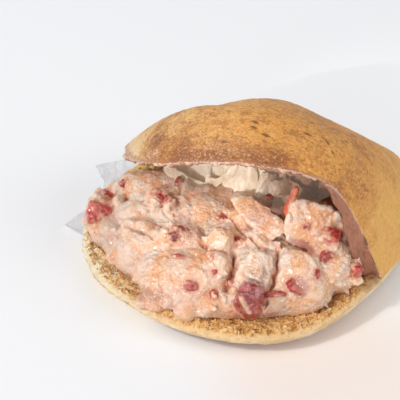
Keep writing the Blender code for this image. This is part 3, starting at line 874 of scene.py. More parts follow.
def put(name, device, place, way):
    """Set up a camera or a lamp that looks back along the way towards it."""
    holder = bpy.data.objects.new(name, device)
    holder.location = place
    holder.rotation_mode = "QUATERNION"
    holder.rotation_quaternion = way.to_track_quat("Z", "Y")
    bpy.context.scene.collection.objects.link(holder)
    return holder


def add_camera():
    lens = bpy.data.cameras.new("camera")
    lens.lens = LENS
    lens.clip_start = 0.01
    back = towards(CAMERA_AZIMUTH, CAMERA_ELEVATION)
    camera = put("camera", lens, CAMERA_TARGET + back * CAMERA_DISTANCE, back)
    bpy.context.scene.camera = camera


def add_lamps():
    for name, azimuth, elevation, size, watts, colour in LAMPS:
        light = bpy.data.lights.new(name, "AREA")
        light.shape = "DISK"
        light.size = size
        light.energy = watts
        light.color = colour
        way = towards(azimuth, elevation)
        put(name, light, way * LAMP_DISTANCE, way)
    light = bpy.data.lights.new("mouth_fill", "SPOT")
    light.energy = MOUTH_WATTS
    light.color = MOUTH_COLOUR
    light.spot_size = math.radians(MOUTH_CONE)
    light.spot_blend = 1.0
    light.shadow_soft_size = MOUTH_SOFTNESS
    way = towards(MOUTH_AZIMUTH, MOUTH_ELEVATION)
    put("mouth_fill", light, Vector(MOUTH_MIDDLE) * MM + way * LAMP_DISTANCE, way)


def add_stage():
    scene = bpy.context.scene
    scene.view_settings.view_transform = "Standard"
    world = bpy.data.worlds.new("studio")
    world.use_nodes = True
    sky = world.node_tree.nodes["Background"]
    sky.inputs["Color"].default_value = SKY
    sky.inputs["Strength"].default_value = SKY_STRENGTH
    scene.world = world
    shape = shape_of()
    bmesh.ops.create_circle(shape, cap_ends=True, segments=FLOOR_SIDES, radius=FLOOR_RADIUS)
    mesh = written(shape, bpy.data.meshes.new("floor"))
    # Painted light: the floor glows faintly under the loaf, which lightens the loaf's shadow.
    paint = Finish("pale_floor", Roughness=0.9, Emission_Strength=1.0)
    paint.feed("Emission Color", paint.mix(paint.spot(*PAINTED_GLOW_PATCH), BLACK, PAINTED_GLOW_UNDER_LOAF))
    # Painted reflection: warm light thrown from the bread onto the floor at the right.
    colour = paint.mix(paint.spot(*PAINTED_WARM_BOUNCE) * 0.6, (247, 248, 250), (249, 230, 216))
    floor = add_piece("floor", mesh, paint.painted(colour))
    add_lamps()


# ---- the cheese heap
HEAP_MIDDLE = np.array([6.0, -15.0])
HEAP_MARGIN = (  # azimuth, and how far inside the loaf's outline the heap ends there
    (0, 12.0), (60, 11.0), (120, 12.0), (170, 15.0), (195, 14.0), (215, 5.0), (228, 4.0),
    (242, 6.5), (256, 7.0), (267, 3.0), (285, 3.5), (300, 8.0), (320, 8.0), (335, 6.5),
    (345, 6.5), (353, 8.5), (360, 10.0),
)
REACH_ROUNDS = 12  # rounds in which the heap's reach settles
REACH_EASE = 0.7  # share of the error that each round takes away
HEAP_CROWN = 29.5  # height of the heap before its lumps
HEAP_EDGE = 13.5  # height at which its steep sides begin at the front and left
HEAP_EDGE_RIGHT = 22.0  # and where it presses against the right wall
HEAP_FRONT = (3.2, 0.7)  # how full the heap stays towards its front edge, and how steep
HEAP_BACK = 1.5  # how fast it falls away to the back
CORE_SINK = 1.4  # how far the plain core lies under the lumps' own surface
CORE_INSET = 0.955  # and how much narrower it is
CORE_LEAST = 2.0  # and its least thickness
CORE_UNEVENNESS = 1.2
CORE_AZIMUTHS = 180
CORE_RINGS = 40
CORE_SIDE_RINGS = 6
CHEESE_GAP = 0.4
GAP_REACH = 3.0  # how far off the bread is looked for to keep that gap
VOXEL = 0.56  # size of the cells that the lumps are melted together in
CREAM_ROUNDS = 3  # smoothing that lays the cream over them
CREAM_SPREAD = 12  # further smoothing of the rounder lumps
CHEESE_TRIANGLES = 190000
OWN_SHARE = 0.4  # what a point keeps of its value in each round of smoothing
OTHERS_SHARE = 0.6  # and what it takes from its neighbours
FLOWING = 40  # rounds of smoothing that give the level to which cream fills the valleys
FILLING = 0.5  # share of their depth that it fills
HILL_ROUNDS = 24  # smoothing that gives the level from which hills and hollows are told, for painted shade in the hollows and painted highlights on the hills
STAIN_REACH = 4.0  # how far tomato juice stains the cheese
PAINTED_SHADE_FRONT = ((-12, -62, 4), (70, 34, 26))  # where painted shade deepens the cream's colour, low at the front

WHITE, PEACH, ROSE, GREY, ORANGE, MAUVE_STAIN_AND_SHADE, PAINTED_SHADE_BROWN = range(7)  # tints of lumps and patches; the brown patches are painted shade, the mauve ones juice stain and painted shade
TINTS = {"white": WHITE, "rosy": ROSE, "grey": GREY, "orange": ORANGE, "mauve": MAUVE_STAIN_AND_SHADE, "brown": PAINTED_SHADE_BROWN}
LUMPS = (  # middle, half sizes, lean about X, Y and Z, roundness and tint of the main lumps
    # the large smooth lump at the front
    ((6, -53, 19), (20, 13, 10.5), (-6, -4, 37), 0.6, PEACH),
    ((16, -45, 21.5), (7.5, 9, 7.5), (8, 6, 37), 0.5, PEACH),
    ((-6, -55, 18.5), (9, 8, 8.5), (-10, -6, 60), 0.35, WHITE),
    # the ledge under it
    ((-1, -64.5, 11.5), (9.5, 5, 2.4), (-8, -4, 30), 0.15, ROSE),
    ((1.5, -66.6, 11.6), (3.6, 2.6, 2.6), (0, 0, 30), 0.5, ROSE),
    ((28, -52, 15), (2.8, 2.6, 4), (0, 0, 20), 0.2, ROSE),
    # the blob that hangs over the rim
    ((14, -62, 13), (4.6, 5.2, 5), (0, 0, 10), 0.5, PEACH),
    ((20, -58, 13.5), (3.4, 3.6, 3.2), (0, 0, 40), 0.5, WHITE),
    ((23, -52, 14), (5.5, 5, 4), (10, 6, 30), 0.3, PEACH),
    # the grey wedge
    ((26.5, -35, 20.5), (7, 12.5, 11.5), (10, -8, 37), 0.2, WHITE),
    ((31.5, -39, 26.8), (6.2, 8.6, 2.2), (31, 10, 37), 0.0, GREY),
    # the lump right of it
    ((43, -27.5, 18.5), (15, 13, 13.2), (6, 4, 40), 0.35, PEACH),
    ((50, -15, 19), (8.5, 10, 9.5), (0, 0, 60), 0.4, PEACH),
    # the tall flake that leans back
    ((39, -10.5, 34), (13, 5, 11), (-26, 14, 37), 0.12, PEACH),
    # its ragged top
    ((34.5, -12, 42.6), (1.5, 1.2, 2.1), (0, 20, 37), 0.2, PEACH),
    ((37.2, -10, 43), (1.4, 1.3, 2.3), (20, 0, 60), 0.1, WHITE),
    ((40.4, -9, 43), (1.9, 1.2, 1.9), (0, -25, 20), 0.2, PEACH),
    ((43.2, -7.6, 42), (1.5, 1.3, 2.2), (10, 10, 80), 0.2, PEACH),
    ((46.4, -6.6, 40), (1.8, 1.2, 1.9), (-15, 10, 37), 0.2, WHITE),
    ((40, -5, 38), (3, 2, 4.5), (-16, 20, 37), 0.1, PEACH),
    ((44, -4, 34.5), (3, 2.4, 4), (-10, 20, 37), 0.1, ROSE),
    ((48, -4, 31), (5.5, 4.5, 6.5), (-10, 6, 37), 0.2, PEACH),
    # the flat slice on the crest
    ((16.0, -18.0, 33.2), (5.6, 14, 1.4), (11, -16, 70), 0.0, ROSE),
    ((5, -9, 30), (3, 5, 1.8), (6, 8, 40), 0.08, PEACH),
    # the ball
    ((11, -36, 29.5), (5.2, 5.4, 5.8), (0, 0, 0), 0.95, PEACH),
    ((-9, -21, 23.5), (12, 13, 8.5), (0, 0, 37), 0.65, PEACH),
    ((8, -19, 23.5), (8, 11, 8), (8, 4, 37), 0.5, PEACH),
    ((-20, -23, 25), (11, 9.5, 6.5), (8, 4, 20), 0.55, PEACH),
    # the smooth slope at the left
    ((-28, -34, 23.5), (13.5, 9.5, 7), (-6, -4, 50), 0.6, WHITE),
    # the mass of curds at the upper left
    ((-40, -20, 23), (14, 9, 7.8), (0, 0, 20), 0.8, PEACH),
    ((-33, -15, 27), (7, 4.5, 3.8), (0, 0, 20), 0.6, WHITE),
    ((-47, -24, 25.5), (3.0, 2.8, 2.4), (0, 0, 0), 0.5, WHITE),
    ((-43, -19, 27), (3.2, 2.6, 2.6), (0, 0, 30), 0.5, PEACH),
    ((-38, -16, 28.5), (2.8, 2.6, 2.4), (0, 0, 60), 0.5, WHITE),
    ((-33, -14, 29), (3.2, 2.4, 2.4), (0, 0, 10), 0.4, PEACH),
    ((-28, -13, 29), (2.6, 2.6, 2.2), (0, 0, 40), 0.5, ROSE),
    ((-50, -26, 22), (6, 5, 4.6), (0, 0, 50), 0.6, WHITE),
    ((-44, -35, 20), (3.4, 4.5, 6), (6, 4, 40), 0.1, PEACH),
    ((-53, -34, 19), (5.5, 4, 3.6), (10, 6, 40), 0.3, ROSE),
    ((-35, -46, 18), (7.5, 7, 6.2), (0, 0, 37), 0.4, GREY),
    ((-45, -47, 14.5), (4.2, 5, 5), (0, 0, 37), 0.3, PEACH),
    ((-42, -49, 12), (3.2, 3.4, 3), (0, 0, 20), 0.3, PEACH),
    ((-21, -51, 18.5), (8.5, 9, 8), (8, 6, 30), 0.5, WHITE),
    ((-23, -54, 14), (6, 6.5, 6.5), (0, 0, 60), 0.4, ROSE),
    ((-32, -51, 12), (4.4, 4.6, 4.2), (0, 0, 20), 0.3, PEACH),
    ((-23, -46, 23.5), (8, 7.5, 5.5), (0, 0, 30), 0.4, PEACH),
    ((-9, -47, 24.5), (9, 7.5, 6), (-8, -6, 20), 0.5, PEACH),
    ((-2, -40, 24.5), (8.5, 8.5, 6), (8, 6, 50), 0.5, PEACH),
    # the crest against the paper
    ((-23, -16, 27.5), (5, 4.5, 4.5), (0, 0, 0), 0.3, WHITE),
    ((-14, -15, 27), (6, 5, 4.8), (0, 0, 30), 0.4, PEACH),
    ((-7, -10, 27), (6, 5, 4.8), (0, 0, 60), 0.3, PEACH),
    ((2, -7, 27.5), (5.5, 4.6, 4.4), (0, 0, 30), 0.2, PEACH),
    ((9, -4, 27.5), (4.5, 4, 4), (0, 0, 10), 0.2, WHITE),
    ((18, -6, 26.5), (5.5, 5, 4), (0, 0, 40), 0.3, ROSE),
    ((22, -25, 26.5), (6.5, 6, 4), (0, 0, 10), 0.3, WHITE),
    # the right end
    ((48, -12, 27), (7.5, 6.5, 6.5), (0, 0, 37), 0.3, PEACH),
    ((51, -7, 23.5), (6.5, 7, 7.5), (0, 0, 37), 0.35, ROSE),
    ((54, -7, 21), (3.5, 4.5, 6), (0, 0, 37), 0.3, ROSE),
    ((55, -12, 17.5), (5, 5.5, 5.5), (0, 0, 37), 0.3, PEACH),
    ((50, -26.5, 13.5), (7, 5.5, 5), (0, 0, 50), 0.3, PEACH),
    ((30, -47, 13), (6, 5, 4), (0, 0, 30), 0.3, ROSE),
)
PATCHES = (  # middle, half sizes and tint of patches where the cream is thin, of juice stains, and of painted shade and painted highlights
    ((1.5, -68, 19.5), (6, 3, 3), PAINTED_SHADE_BROWN),  # painted shade under the large lump
    ((13.5, -41, 26.5), (4.5, 4, 2.5), PAINTED_SHADE_BROWN),  # painted shade under the ball
    ((23, -45, 23), (1.6, 7, 5), PAINTED_SHADE_BROWN),  # painted shade in the cleft beside the grey wedge
    ((16, -30, 29), (2.2, 4, 3), ORANGE),  # beside the ball
    ((-13, -19, 28), (5, 4, 4), ORANGE),
    ((28, -24, 28), (6, 2.5, 3), ORANGE),  # between the slice and the lump at the right
    ((57, -16, 16), (4, 6, 4), ORANGE),
    ((30, -13, 31), (3, 3, 3), PAINTED_SHADE_BROWN),  # painted shade behind the tall flake
    ((38, -19, 29), (8, 2, 3), MAUVE_STAIN_AND_SHADE),  # painted shade under the tall flake
    ((14, -18, 28), (2, 8, 2), MAUVE_STAIN_AND_SHADE),  # painted shade on the side of the slice
    ((48, -35, 24), (4, 3, 4), MAUVE_STAIN_AND_SHADE),
    ((14, -60, 24), (3, 3, 3), MAUVE_STAIN_AND_SHADE),
    ((-20, -49, 22), (6, 2, 2), MAUVE_STAIN_AND_SHADE),
    ((12, -47, 28), (3, 1.5, 2), ORANGE),
    ((52, -6, 27), (5, 3, 4), MAUVE_STAIN_AND_SHADE),
    ((33, -43, 22), (3, 3, 5), MAUVE_STAIN_AND_SHADE),
    ((43, -44, 12), (7, 3, 2), MAUVE_STAIN_AND_SHADE),
    ((0, -66, 12), (9, 4, 2.5), ROSE),
    # Painted shade on the front of the large lump.
    ((8, -65, 19), (8, 4, 5), ROSE),
    # Painted highlights on the upper left sides of lumps.
    ((-7, -60, 24), (5, 4, 4), WHITE),
    ((36, -30, 29), (4, 4, 4), WHITE),
)
CLEFTS = (  # course on plan, width and depth of the clefts and creases between them
    (((18, -36), (22, -44), (24, -48), (25, -51)), 1.0, 2.6),
    (((32, -26), (37, -35), (38.5, -42), (40, -48)), 0.9, 3.0),
    (((0, -20), (13, -25), (26, -30)), 0.6, 1.8),
    (((6, -40), (12, -42), (16, -39)), 1.2, 1.6),
    (((-33, -9), (-24, -15), (-20, -23)), 0.8, 1.4),
    (((-40, -33), (-32, -34), (-22, -33)), 1.0, 1.4),
    (((-17, -21), (-9, -28), (-6, -36)), 1.2, 0.9),
    (((-26, -50), (-20, -48), (-12, -50)), 0.9, 1.4),
    (((21, -13), (26, -14), (32, -17)), 0.8, 2.0),
    (((38, -45), (44, -44), (49, -40)), 0.8, 1.2),
)
CRISP = 0.25  # lumps less round than this are hewn like blocks
HEWN_PLANES = 11
HEWN_DEPTH = (0.7, 0.98)  # how near a lump's middle they pass, as a share of its half size
CRISP_CORNER = 1.7  # how far the corners between them stand out, as such a share
SOFT_CORNER = 1.3
SMALL_PIECES = (  # how many, least and most half size, flatness and roundness
    (30, 1.4, 2.8, 0.6, 0.3),
    (60, 1.6, 3.6, 0.25, 0.1),
    (220, 0.7, 1.4, 0.8, 0.3),
)
SMALL_REACH = 0.98  # how far out they lie, as a share of the heap's reach
SMALL_CROWDING = 0.36  # the smaller this is, the more of them lie near its edge
SMALL_BIAS = 1.6  # the larger this is, the more of them are near their least size
SMALL_THINNEST = 0.8
SMALL_LEAN = 32  # degrees


def heap_reach(turn):
    """How far the heap reaches from its middle in each direction."""
    ahead = np.stack([np.cos(turn), np.sin(turn)], -1)
    reach = np.full(np.shape(turn), BREAD_RADIUS)
    for step in range(REACH_ROUNDS):
        place = HEAP_MIDDLE + reach[..., None] * ahead
        room = plan_radius(azimuth_of(place)) - by_azimuth(HEAP_MARGIN, azimuth_of(place))
        reach += REACH_EASE * (room - np.linalg.norm(place, axis=-1))
    return reach


def heap_height(places):
    """Height of the heap before its lumps, over points of the pocket's floor."""
    away = places[..., :2] - HEAP_MIDDLE
    distance = np.linalg.norm(away, axis=-1) + 1e-9
    ahead = away / distance[..., None]
    share = np.minimum(distance / heap_reach(azimuth_of(ahead)), 1.0)
    edge = HEAP_EDGE + (HEAP_EDGE_RIGHT - HEAP_EDGE) * np.maximum(ahead[..., 0], 0.0) ** 3
    fullness, steepness = HEAP_FRONT
    front = (1 - share**fullness) ** steepness
    back = (1 - share) ** HEAP_BACK
    behind = smooth_step(0.5 + 1.2 * ahead[..., 1])
    return edge + (HEAP_CROWN - edge) * (front + (back - front) * behind)


def floor_height(places):
    """Height of the pocket's floor under points."""
    azimuth = azimuth_of(places)
    edge = inner_bottom(azimuth, np.zeros_like(azimuth))
    share = np.linalg.norm(places[..., :2], axis=-1) / np.linalg.norm(edge[..., :2], axis=-1)
    return inner_bottom(azimuth, 1 - np.minimum(share, 1.0))[..., 2]


def heap_grid(shares):
    """Points of the heap's plan at shares of its reach, round and round."""
    turn = np.linspace(0, 2 * np.pi, CORE_AZIMUTHS, endpoint=False)
    grid = np.zeros((CORE_AZIMUTHS, len(shares), 3))
    reach = heap_reach(turn)[:, None] * shares[None, :]
    grid[..., 0] = HEAP_MIDDLE[0] + reach * np.cos(turn)[:, None]
    grid[..., 1] = HEAP_MIDDLE[1] + reach * np.sin(turn)[:, None]
    return grid


def core_mesh():
    """The plain mass that the lumps sit in."""
    top = heap_grid(np.linspace(0, CORE_INSET, CORE_RINGS + 1))
    sink = CORE_SINK + CORE_UNEVENNESS * waves(top, 11, 101)
    top[..., 2] = heap_height(top) - sink
    bottom = heap_grid(np.linspace(CORE_INSET, 0, CORE_RINGS // 2 + 1))
    bottom[..., 2] = floor_height(bottom) + CHEESE_GAP
    top[..., 2] = np.maximum(top[..., 2], floor_height(top) + CORE_LEAST)
    side = strip_between(top[:, -1], bottom[:, 0], CORE_SIDE_RINGS)
    return mesh_of_grids("core", [(grid, True, 0, {}) for grid in (top, side, bottom)])


def ball_directions(fineness):
    shape = shape_of()
    bmesh.ops.create_icosphere(shape, subdivisions=fineness, radius=1.0)
    directions = np.array([vertex.co[:] for vertex in shape.verts])
    faces = np.array([[vertex.index for vertex in face.verts] for face in shape.faces])
    shape.free()
    return directions, faces


def leaning(points, lean):
    """Points turned about X, Y and Z, in degrees."""
    matrix = Euler([math.radians(angle) for angle in lean]).to_matrix()
    return points @ np.array(matrix).T


def hewn_lump(directions, middle, half_sizes, lean, roundness, chance):
    """Points of a lump hewn by random planes and rounded; a ball where roundness is 1."""
    planes = chance.normal(size=(HEWN_PLANES, 3))
    if roundness < CRISP:
        planes[:6] = np.concatenate([np.eye(3), -np.eye(3)]) + 0.12 * planes[:6]
    planes /= np.linalg.norm(planes, axis=1, keepdims=True)
    depth = chance.uniform(*HEWN_DEPTH, size=HEWN_PLANES)
    facing = np.maximum(directions @ planes.T, 1e-3)
    corner = CRISP_CORNER if roundness < CRISP else SOFT_CORNER
    cut = np.min(np.minimum(depth / facing, corner), axis=1)
    radius = blend_to(cut, 1.0, roundness)
    return leaning(directions * radius[:, None] * np.array(half_sizes), lean) + np.array(middle)


def small_lumps(chance):
    """Small lumps, flat flakes and crumbs of cheese, most of them towards the heap's edge."""
    rows = []
    for count, least, most, flatness, roundness in SMALL_PIECES:
        for index in range(count):
            turn = chance.uniform(0, 2 * math.pi)
            share = SMALL_REACH * chance.uniform(0, 1) ** SMALL_CROWDING
            reach = float(heap_reach(np.array([turn]))[0])
            place = HEAP_MIDDLE + share * reach * np.array([math.cos(turn), math.sin(turn)])
            size = least + (most - least) * chance.uniform(0, 1) ** SMALL_BIAS
            half = size * chance.uniform(0.65, 1.3, size=3)
            half[2] = max(half[2] * flatness, SMALL_THINNEST)
            height = float(heap_height(place[None, :])[0]) + chance.uniform(-0.6, 0.5) * half[2]
            tint = int(chance.choice([WHITE, PEACH, PEACH, ROSE]))
            lean = (*chance.uniform(-SMALL_LEAN, SMALL_LEAN, size=2), chance.uniform(0, 180))
            rows.append(((*place, height), half, lean, roundness, tint))
    return rows


def evaluated_copy(name, mesh, *modifiers):
    """A new mesh made from one by modifiers, each given as name, type and settings."""
    thing = bpy.data.objects.new(name, mesh)
    bpy.context.scene.collection.objects.link(thing)
    for title, kind, settings in modifiers:
        modifier = thing.modifiers.new(title, kind)
        for setting, value in settings.items():
            if hasattr(modifier, setting):
                setattr(modifier, setting, value)
            else:  # an input of a node tree, by its identifier
                modifier[setting] = value
    evaluated = thing.evaluated_get(bpy.context.evaluated_depsgraph_get())
    result = bpy.data.meshes.new_from_object(evaluated)
    bpy.data.objects.remove(thing)
    bpy.data.meshes.remove(mesh)
    result.name = name
    return result


def melted(name, meshes):
    """Closed meshes melted together into one skin, smoothed a little."""
    shape = shape_of(*meshes)
    for mesh in meshes:
        bpy.data.meshes.remove(mesh)
    mesh = written(shape, bpy.data.meshes.new("lumps"))
    melt = {"mode": "VOXEL", "voxel_size": VOXEL * MM}
    cream = {"iterations": CREAM_ROUNDS, "factor": 0.5}
    skin = evaluated_copy(name, mesh, ("melt", "REMESH", melt), ("cream", "SMOOTH", cream))
    return only_largest_part(skin)


def only_largest_part(mesh):
    """The mesh without loose parts and closed bubbles, which lie hidden inside."""
    edges = edges_of(mesh)
    label = np.arange(len(mesh.vertices))
    while True:
        least = np.minimum(label[edges[:, 0]], label[edges[:, 1]])
        after = label.copy()
        np.minimum.at(after, edges[:, 0], least)
        np.minimum.at(after, edges[:, 1], least)
        after = after[after]
        if np.array_equal(after, label):
            break
        label = after
    largest = np.bincount(label).argmax()
    shape = shape_of(mesh)
    loose = [vertex for vertex in shape.verts if label[vertex.index] != largest]
    bmesh.ops.delete(shape, geom=loose, context="VERTS")
    return written(shape, mesh)


def spread(values, edges, rounds):
    """Each point's value averaged with its neighbours', a number of times."""
    values = np.asarray(values, float)
    flat = values.reshape(len(values), -1).copy()
    both = np.concatenate([edges, edges[:, ::-1]])
    count = np.maximum(np.bincount(both[:, 0], minlength=len(flat)), 1)
    for step in range(rounds):
        for column in range(flat.shape[1]):
            total = np.bincount(both[:, 0], flat[both[:, 1], column], minlength=len(flat))
            flat[:, column] = OWN_SHARE * flat[:, column] + OTHERS_SHARE * total / count
    return flat.reshape(values.shape)


def keep_out_of(tree, points, gap):
    """Points moved to a gap in front of a closed mesh where they are too near."""
    for index, point in enumerate(points):
        place, normal, face, distance = tree.find_nearest(Vector(point * MM), GAP_REACH * MM)
        if place is None:
            continue
        height = (Vector(point * MM) - place).dot(normal) / MM
        if height < gap:
            points[index] = np.array(place + normal * gap * MM) / MM
    return points


def away_from_line(points, start, end):
    """How far points lie from the straight line between two places."""
    start, run = np.array(start, float), np.subtract(end, start).astype(float)
    along = np.clip((points - start) @ run / (run @ run), 0, 1)
    return np.linalg.norm(points - start - along[:, None] * run, axis=1)


def away_from_oval(points, middle, half_sizes):
    """How far points lie from the middle of an oval lump, 1 on its surface."""
    return np.linalg.norm((points - np.array(middle)) / np.array(half_sizes), axis=1)


def cleft_depth(points):
    """How deep the clefts cut into the heap at each point."""
    total = np.zeros(len(points))
    place = points[:, :2] + 0.7 * np.stack([waves(points, 4, 151), waves(points, 4, 152)], -1)
    for course, width, depth in CLEFTS:
        pieces = zip(course[:-1], course[1:])
        nearest = np.min([away_from_line(place, start, end) for start, end in pieces], axis=0)
        total = np.maximum(total, depth * np.exp(-((nearest / width) ** 2)))
    return total


def cheese_mesh(bread_tree):
    chance = np.random.default_rng(8)
    directions, faces = ball_directions(3)
    rows = list(LUMPS) + small_lumps(chance) + collar_lumps(chance)
    lumps = []
    for row in rows:
        lumps.append(new_mesh("lump", [hewn_lump(directions, *row[:4], chance)], [faces]))
    mesh = melted("cheese_heap", [core_mesh(), *lumps])
    points, edges = points_of(mesh), edges_of(mesh)
    roundness = np.array([row[3] for row in rows])[nearest_row(points, rows)]
    cream = 0.85 * smooth_step(0.55 + 1.6 * waves(points, 16, 105)) * (roundness > CRISP)
    points = blend_to(points, spread(points, edges, CREAM_SPREAD), cream[:, None])
    set_points(mesh, points)
    normals = normals_of(mesh)
    valley = np.sum((spread(points, edges, FLOWING) - points) * normals, axis=1)
    points = points + normals * (FILLING * np.maximum(valley - 0.15, 0.0))[:, None]
    set_points(mesh, points)
    normals = normals_of(mesh)
    shown = smooth_step((points[:, 2] - floor_height(points) - 1.5) / 3.0)
    swirled = points * (1, 1, 1.3) + 3.0 * waves(points, 9, 111)[:, None]
    folds = 0.32 * np.maximum(creases(swirled, 13.0, 113), -0.4)
    folds = folds + 0.42 * rough_waves(swirled, 4.5, 117, 3, 0.7)
    curds = 0.15 * rough_waves(points, 1.9, 121, 2, 0.7)
    middle, kind = nearest_cell(points, 2.0, 141)
    pebbly = smooth_step((waves(points, 13, 145) - 0.05) / 0.25)
    nubs = 0.5 * smooth_step((0.55 - middle) / 0.35) * pebbly * (kind % 3 > 0)
    hollow, number = nearest_cell(points, 2.6, 131)
    nicks = -0.5 * smooth_step((0.3 - hollow) / 0.12) * (number % 7 == 0)
    rise = shown * (folds + curds + nubs + nicks)
    drop = shown * cleft_depth(points)
    points = points + normals * rise[:, None] - drop[:, None] * np.array([0.0, 0.0, 1.0])
    points = keep_out_of(bread_tree, points, CHEESE_GAP)
    set_points(mesh, points)
    # Relief against a smoothed copy: the finish paints shade in its hollows and highlights on its
    # hills.
    cavity = np.sum((points - spread(points, edges, HILL_ROUNDS)) * normals_of(mesh), axis=1)
    set_mark(mesh, "relief_shade_and_highlight", spread(cavity, edges, 1))
    mark_tints(mesh, points, rows, edges)
    ratio = min(CHEESE_TRIANGLES / (2.0 * len(mesh.polygons)), 1.0)
    mesh = evaluated_copy("cheese_heap", mesh, ("thin out", "DECIMATE", {"ratio": ratio}))
    mesh.shade_smooth()
    return mesh


def nearest_row(points, rows):
    """Which lump each point belongs to."""
    nearest = np.full(len(points), 1e9)
    number = np.zeros(len(points), int)
    for index, (middle, half, *form) in enumerate(rows):
        distance = away_from_oval(points, middle, half)
        closer = distance < nearest
        nearest = np.where(closer, distance, nearest)
        number = np.where(closer, index, number)
    return number


def mark_tints(mesh, points, rows, edges):
    """Shares of each tint at each point, from the lump that it belongs to and the patches."""
    tint = np.array([row[4] for row in rows])[nearest_row(points, rows)]
    uneven = 0.35 * rough_waves(points, 3.0, 161)
    for name, kind in TINTS.items():
        share = spread((tint == kind).astype(float), edges, 6)
        for middle, half, patch in PATCHES:
            if patch == kind:
                away = away_from_oval(points, middle, half)
                share = np.maximum(share, smooth_step((1.25 - away + uneven) / 0.5))
        set_mark(mesh, name, share)


def mark_stain(cheese, tomatoes):
    """How near each point of the cheese lies to tomato, whose juice stains it."""
    tree = tree_of(*tomatoes)
    points = points_of(cheese)
    away = np.full(len(points), STAIN_REACH)
    for index, point in enumerate(points):
        distance = tree.find_nearest(Vector(point * MM), STAIN_REACH * MM)[3]
        if distance is not None:
            away[index] = distance / MM
    set_mark(cheese, "stain", 1 - away / STAIN_REACH)


def cheese_finish():
    """Soft cheese in tomato-tinted cream: wet and curdled, with painted shade in its clefts and
    painted highlights and glints.
    """
    cheese = Finish(
        "creamy_cheese",
        Roughness=0.4,
        Subsurface_Weight=0.25,
        Subsurface_Radius=(0.002, 0.0009, 0.0006),
        Coat_Roughness=0.12,
    )
    white, rosy, grey, orange, mauve, brown = cheese.attributes(*TINTS)
    relief_shade_and_highlight, juice = cheese.attributes("relief_shade_and_highlight", "stain")
    clouds = cheese.noise(9, 4, 0.6, distortion=0.6)
    flecks = cheese.noise(2.4, 4, 0.65)
    grain = cheese.noise(0.9, 3, 0.7)
    fine = cheese.noise(0.5, 2, 0.6)
    strings = cheese.noise(2.0, 3, 0.6, stretch=(3.4, 1.2, 1.0), distortion=1.2)
    level = cheese.noise(9, 2, 0.5, distortion=1.5)
    strung = strings.step(0.52, 0.62) * clouds.step(0.46, 0.56)
    speckled = (fine - 0.56).step(0.0, 0.1) * grain.step(0.46, 0.56)
    stain = (juice + (flecks - 0.5) * 1.2).step(0.6, 1.15)
    line = (0.012 - (level - 0.5).size()).step(0.0, 0.01) * strings.step(0.5, 0.58)
    # Painted glints: small bright dots of painted highlight.
    painted_glints = (0.34 - cheese.cells(1.3)).step(0.0, 0.1) * grain.step(0.48, 0.56)
    colour = cheese.layers(
        cheese.mix(clouds.step(0.42, 0.6), (244, 192, 150), (240, 206, 182)),
        (white * 0.75, (242, 224, 208)),
        (rosy * 0.6, (232, 180, 158)),
        (grey * 0.8, (216, 188, 172)),
        ((0.5 - clouds).step(0.03, 0.16) * 0.6, (240, 174, 122)),
        (flecks.step(0.54, 0.72) * 0.5, (250, 222, 196)),
        (strung * 0.6, (246, 232, 216)),
        ((0.46 - flecks).step(0.0, 0.14) * 0.5, (216, 142, 112)),
        (speckled * 0.35, (206, 130, 104)),
        (stain * 0.6, (216, 112, 86)),
        (orange * 0.5, (238, 154, 104)),
        # Mauve: juice stains and painted shade; brown: painted shade under and behind lumps.
        (mauve * 0.7, (190, 128, 118)),
        (brown * 0.8, (180, 116, 86)),
        # Painted shade in the hollows and painted highlights on the hills.
        ((0 - relief_shade_and_highlight).step(0.15, 0.9) * 0.85, (176, 92, 72)),
        (relief_shade_and_highlight.step(0.15, 0.8) * 0.7, (255, 234, 212)),
        (line * 0.55, (186, 96, 78)),
        (painted_glints * 0.9, (255, 246, 226)),
        # Painted shade over the front of the heap.
        (cheese.spot(*PAINTED_SHADE_FRONT) * 0.25, (216, 152, 112)),
    )
    cheese.feed("Roughness", 0.2 + grain * 0.26)
    cheese.feed("Coat Weight", flecks.step(0.36, 0.6) * (0.8 - white * 0.5))
    return cheese.painted(colour, (flecks, 0.6), (grain, 0.55), (fine, 0.2))


# ---- diced tomato
TOMATOES = (  # node, middle, size, tilt, turn and how wide its upper end is against its foot
    ("tomato_rim_cube", (-48.6, -42.0, 18.0), (11.0, 9.5, 9.5), 16, 38, 1.0),
    ("tomato_wedge_left", (-23.5, -31.0, 32.0), (9.5, 5.0, 4.5), 15, 10, 1.0),
    ("tomato_hollow", (-4.5, -43.5, 28.5), (10.0, 8.0, 7.0), 30, 50, 1.0),
    ("tomato_front_large", (34.5, -49.5, 20.0), (11.0, 9.0, 19.0), 20, 20, 0.8),
    ("tomato_spike", (28.0, -11.2, 41.8), (5.5, 5.0, 15.5), 10, 60, 0.35),
    ("tomato_right", (47.0, -12.5, 33.0), (8.0, 7.0, 7.0), 25, 30, 1.0),
    ("tomato_right_small", (59.0, -12.5, 21.5), (5.0, 4.5, 8.0), 18, 70, 1.0),
    ("tomato_strip_left", (-52.0, -32.5, 22.0), (11.0, 4.5, 4.0), 8, 72, 1.0),
)
COLLARS = {  # how many lumps of cheese are pressed round each piece of tomato
    "tomato_rim_cube": 4,
    "tomato_wedge_left": 7,
    "tomato_hollow": 8,
    "tomato_front_large": 5,
    "tomato_right": 9,
    "tomato_right_small": 4,
    "tomato_strip_left": 5,
}
STREAKS = (  # start, end and width of the pale strings of flesh on the large piece
    ((31, -49, 30), (35, -56, 26), 1.1),
    ((35, -56, 26), (38, -54, 17), 1.2),
    ((32, -56, 17), (36, -55, 13), 1.1),
)
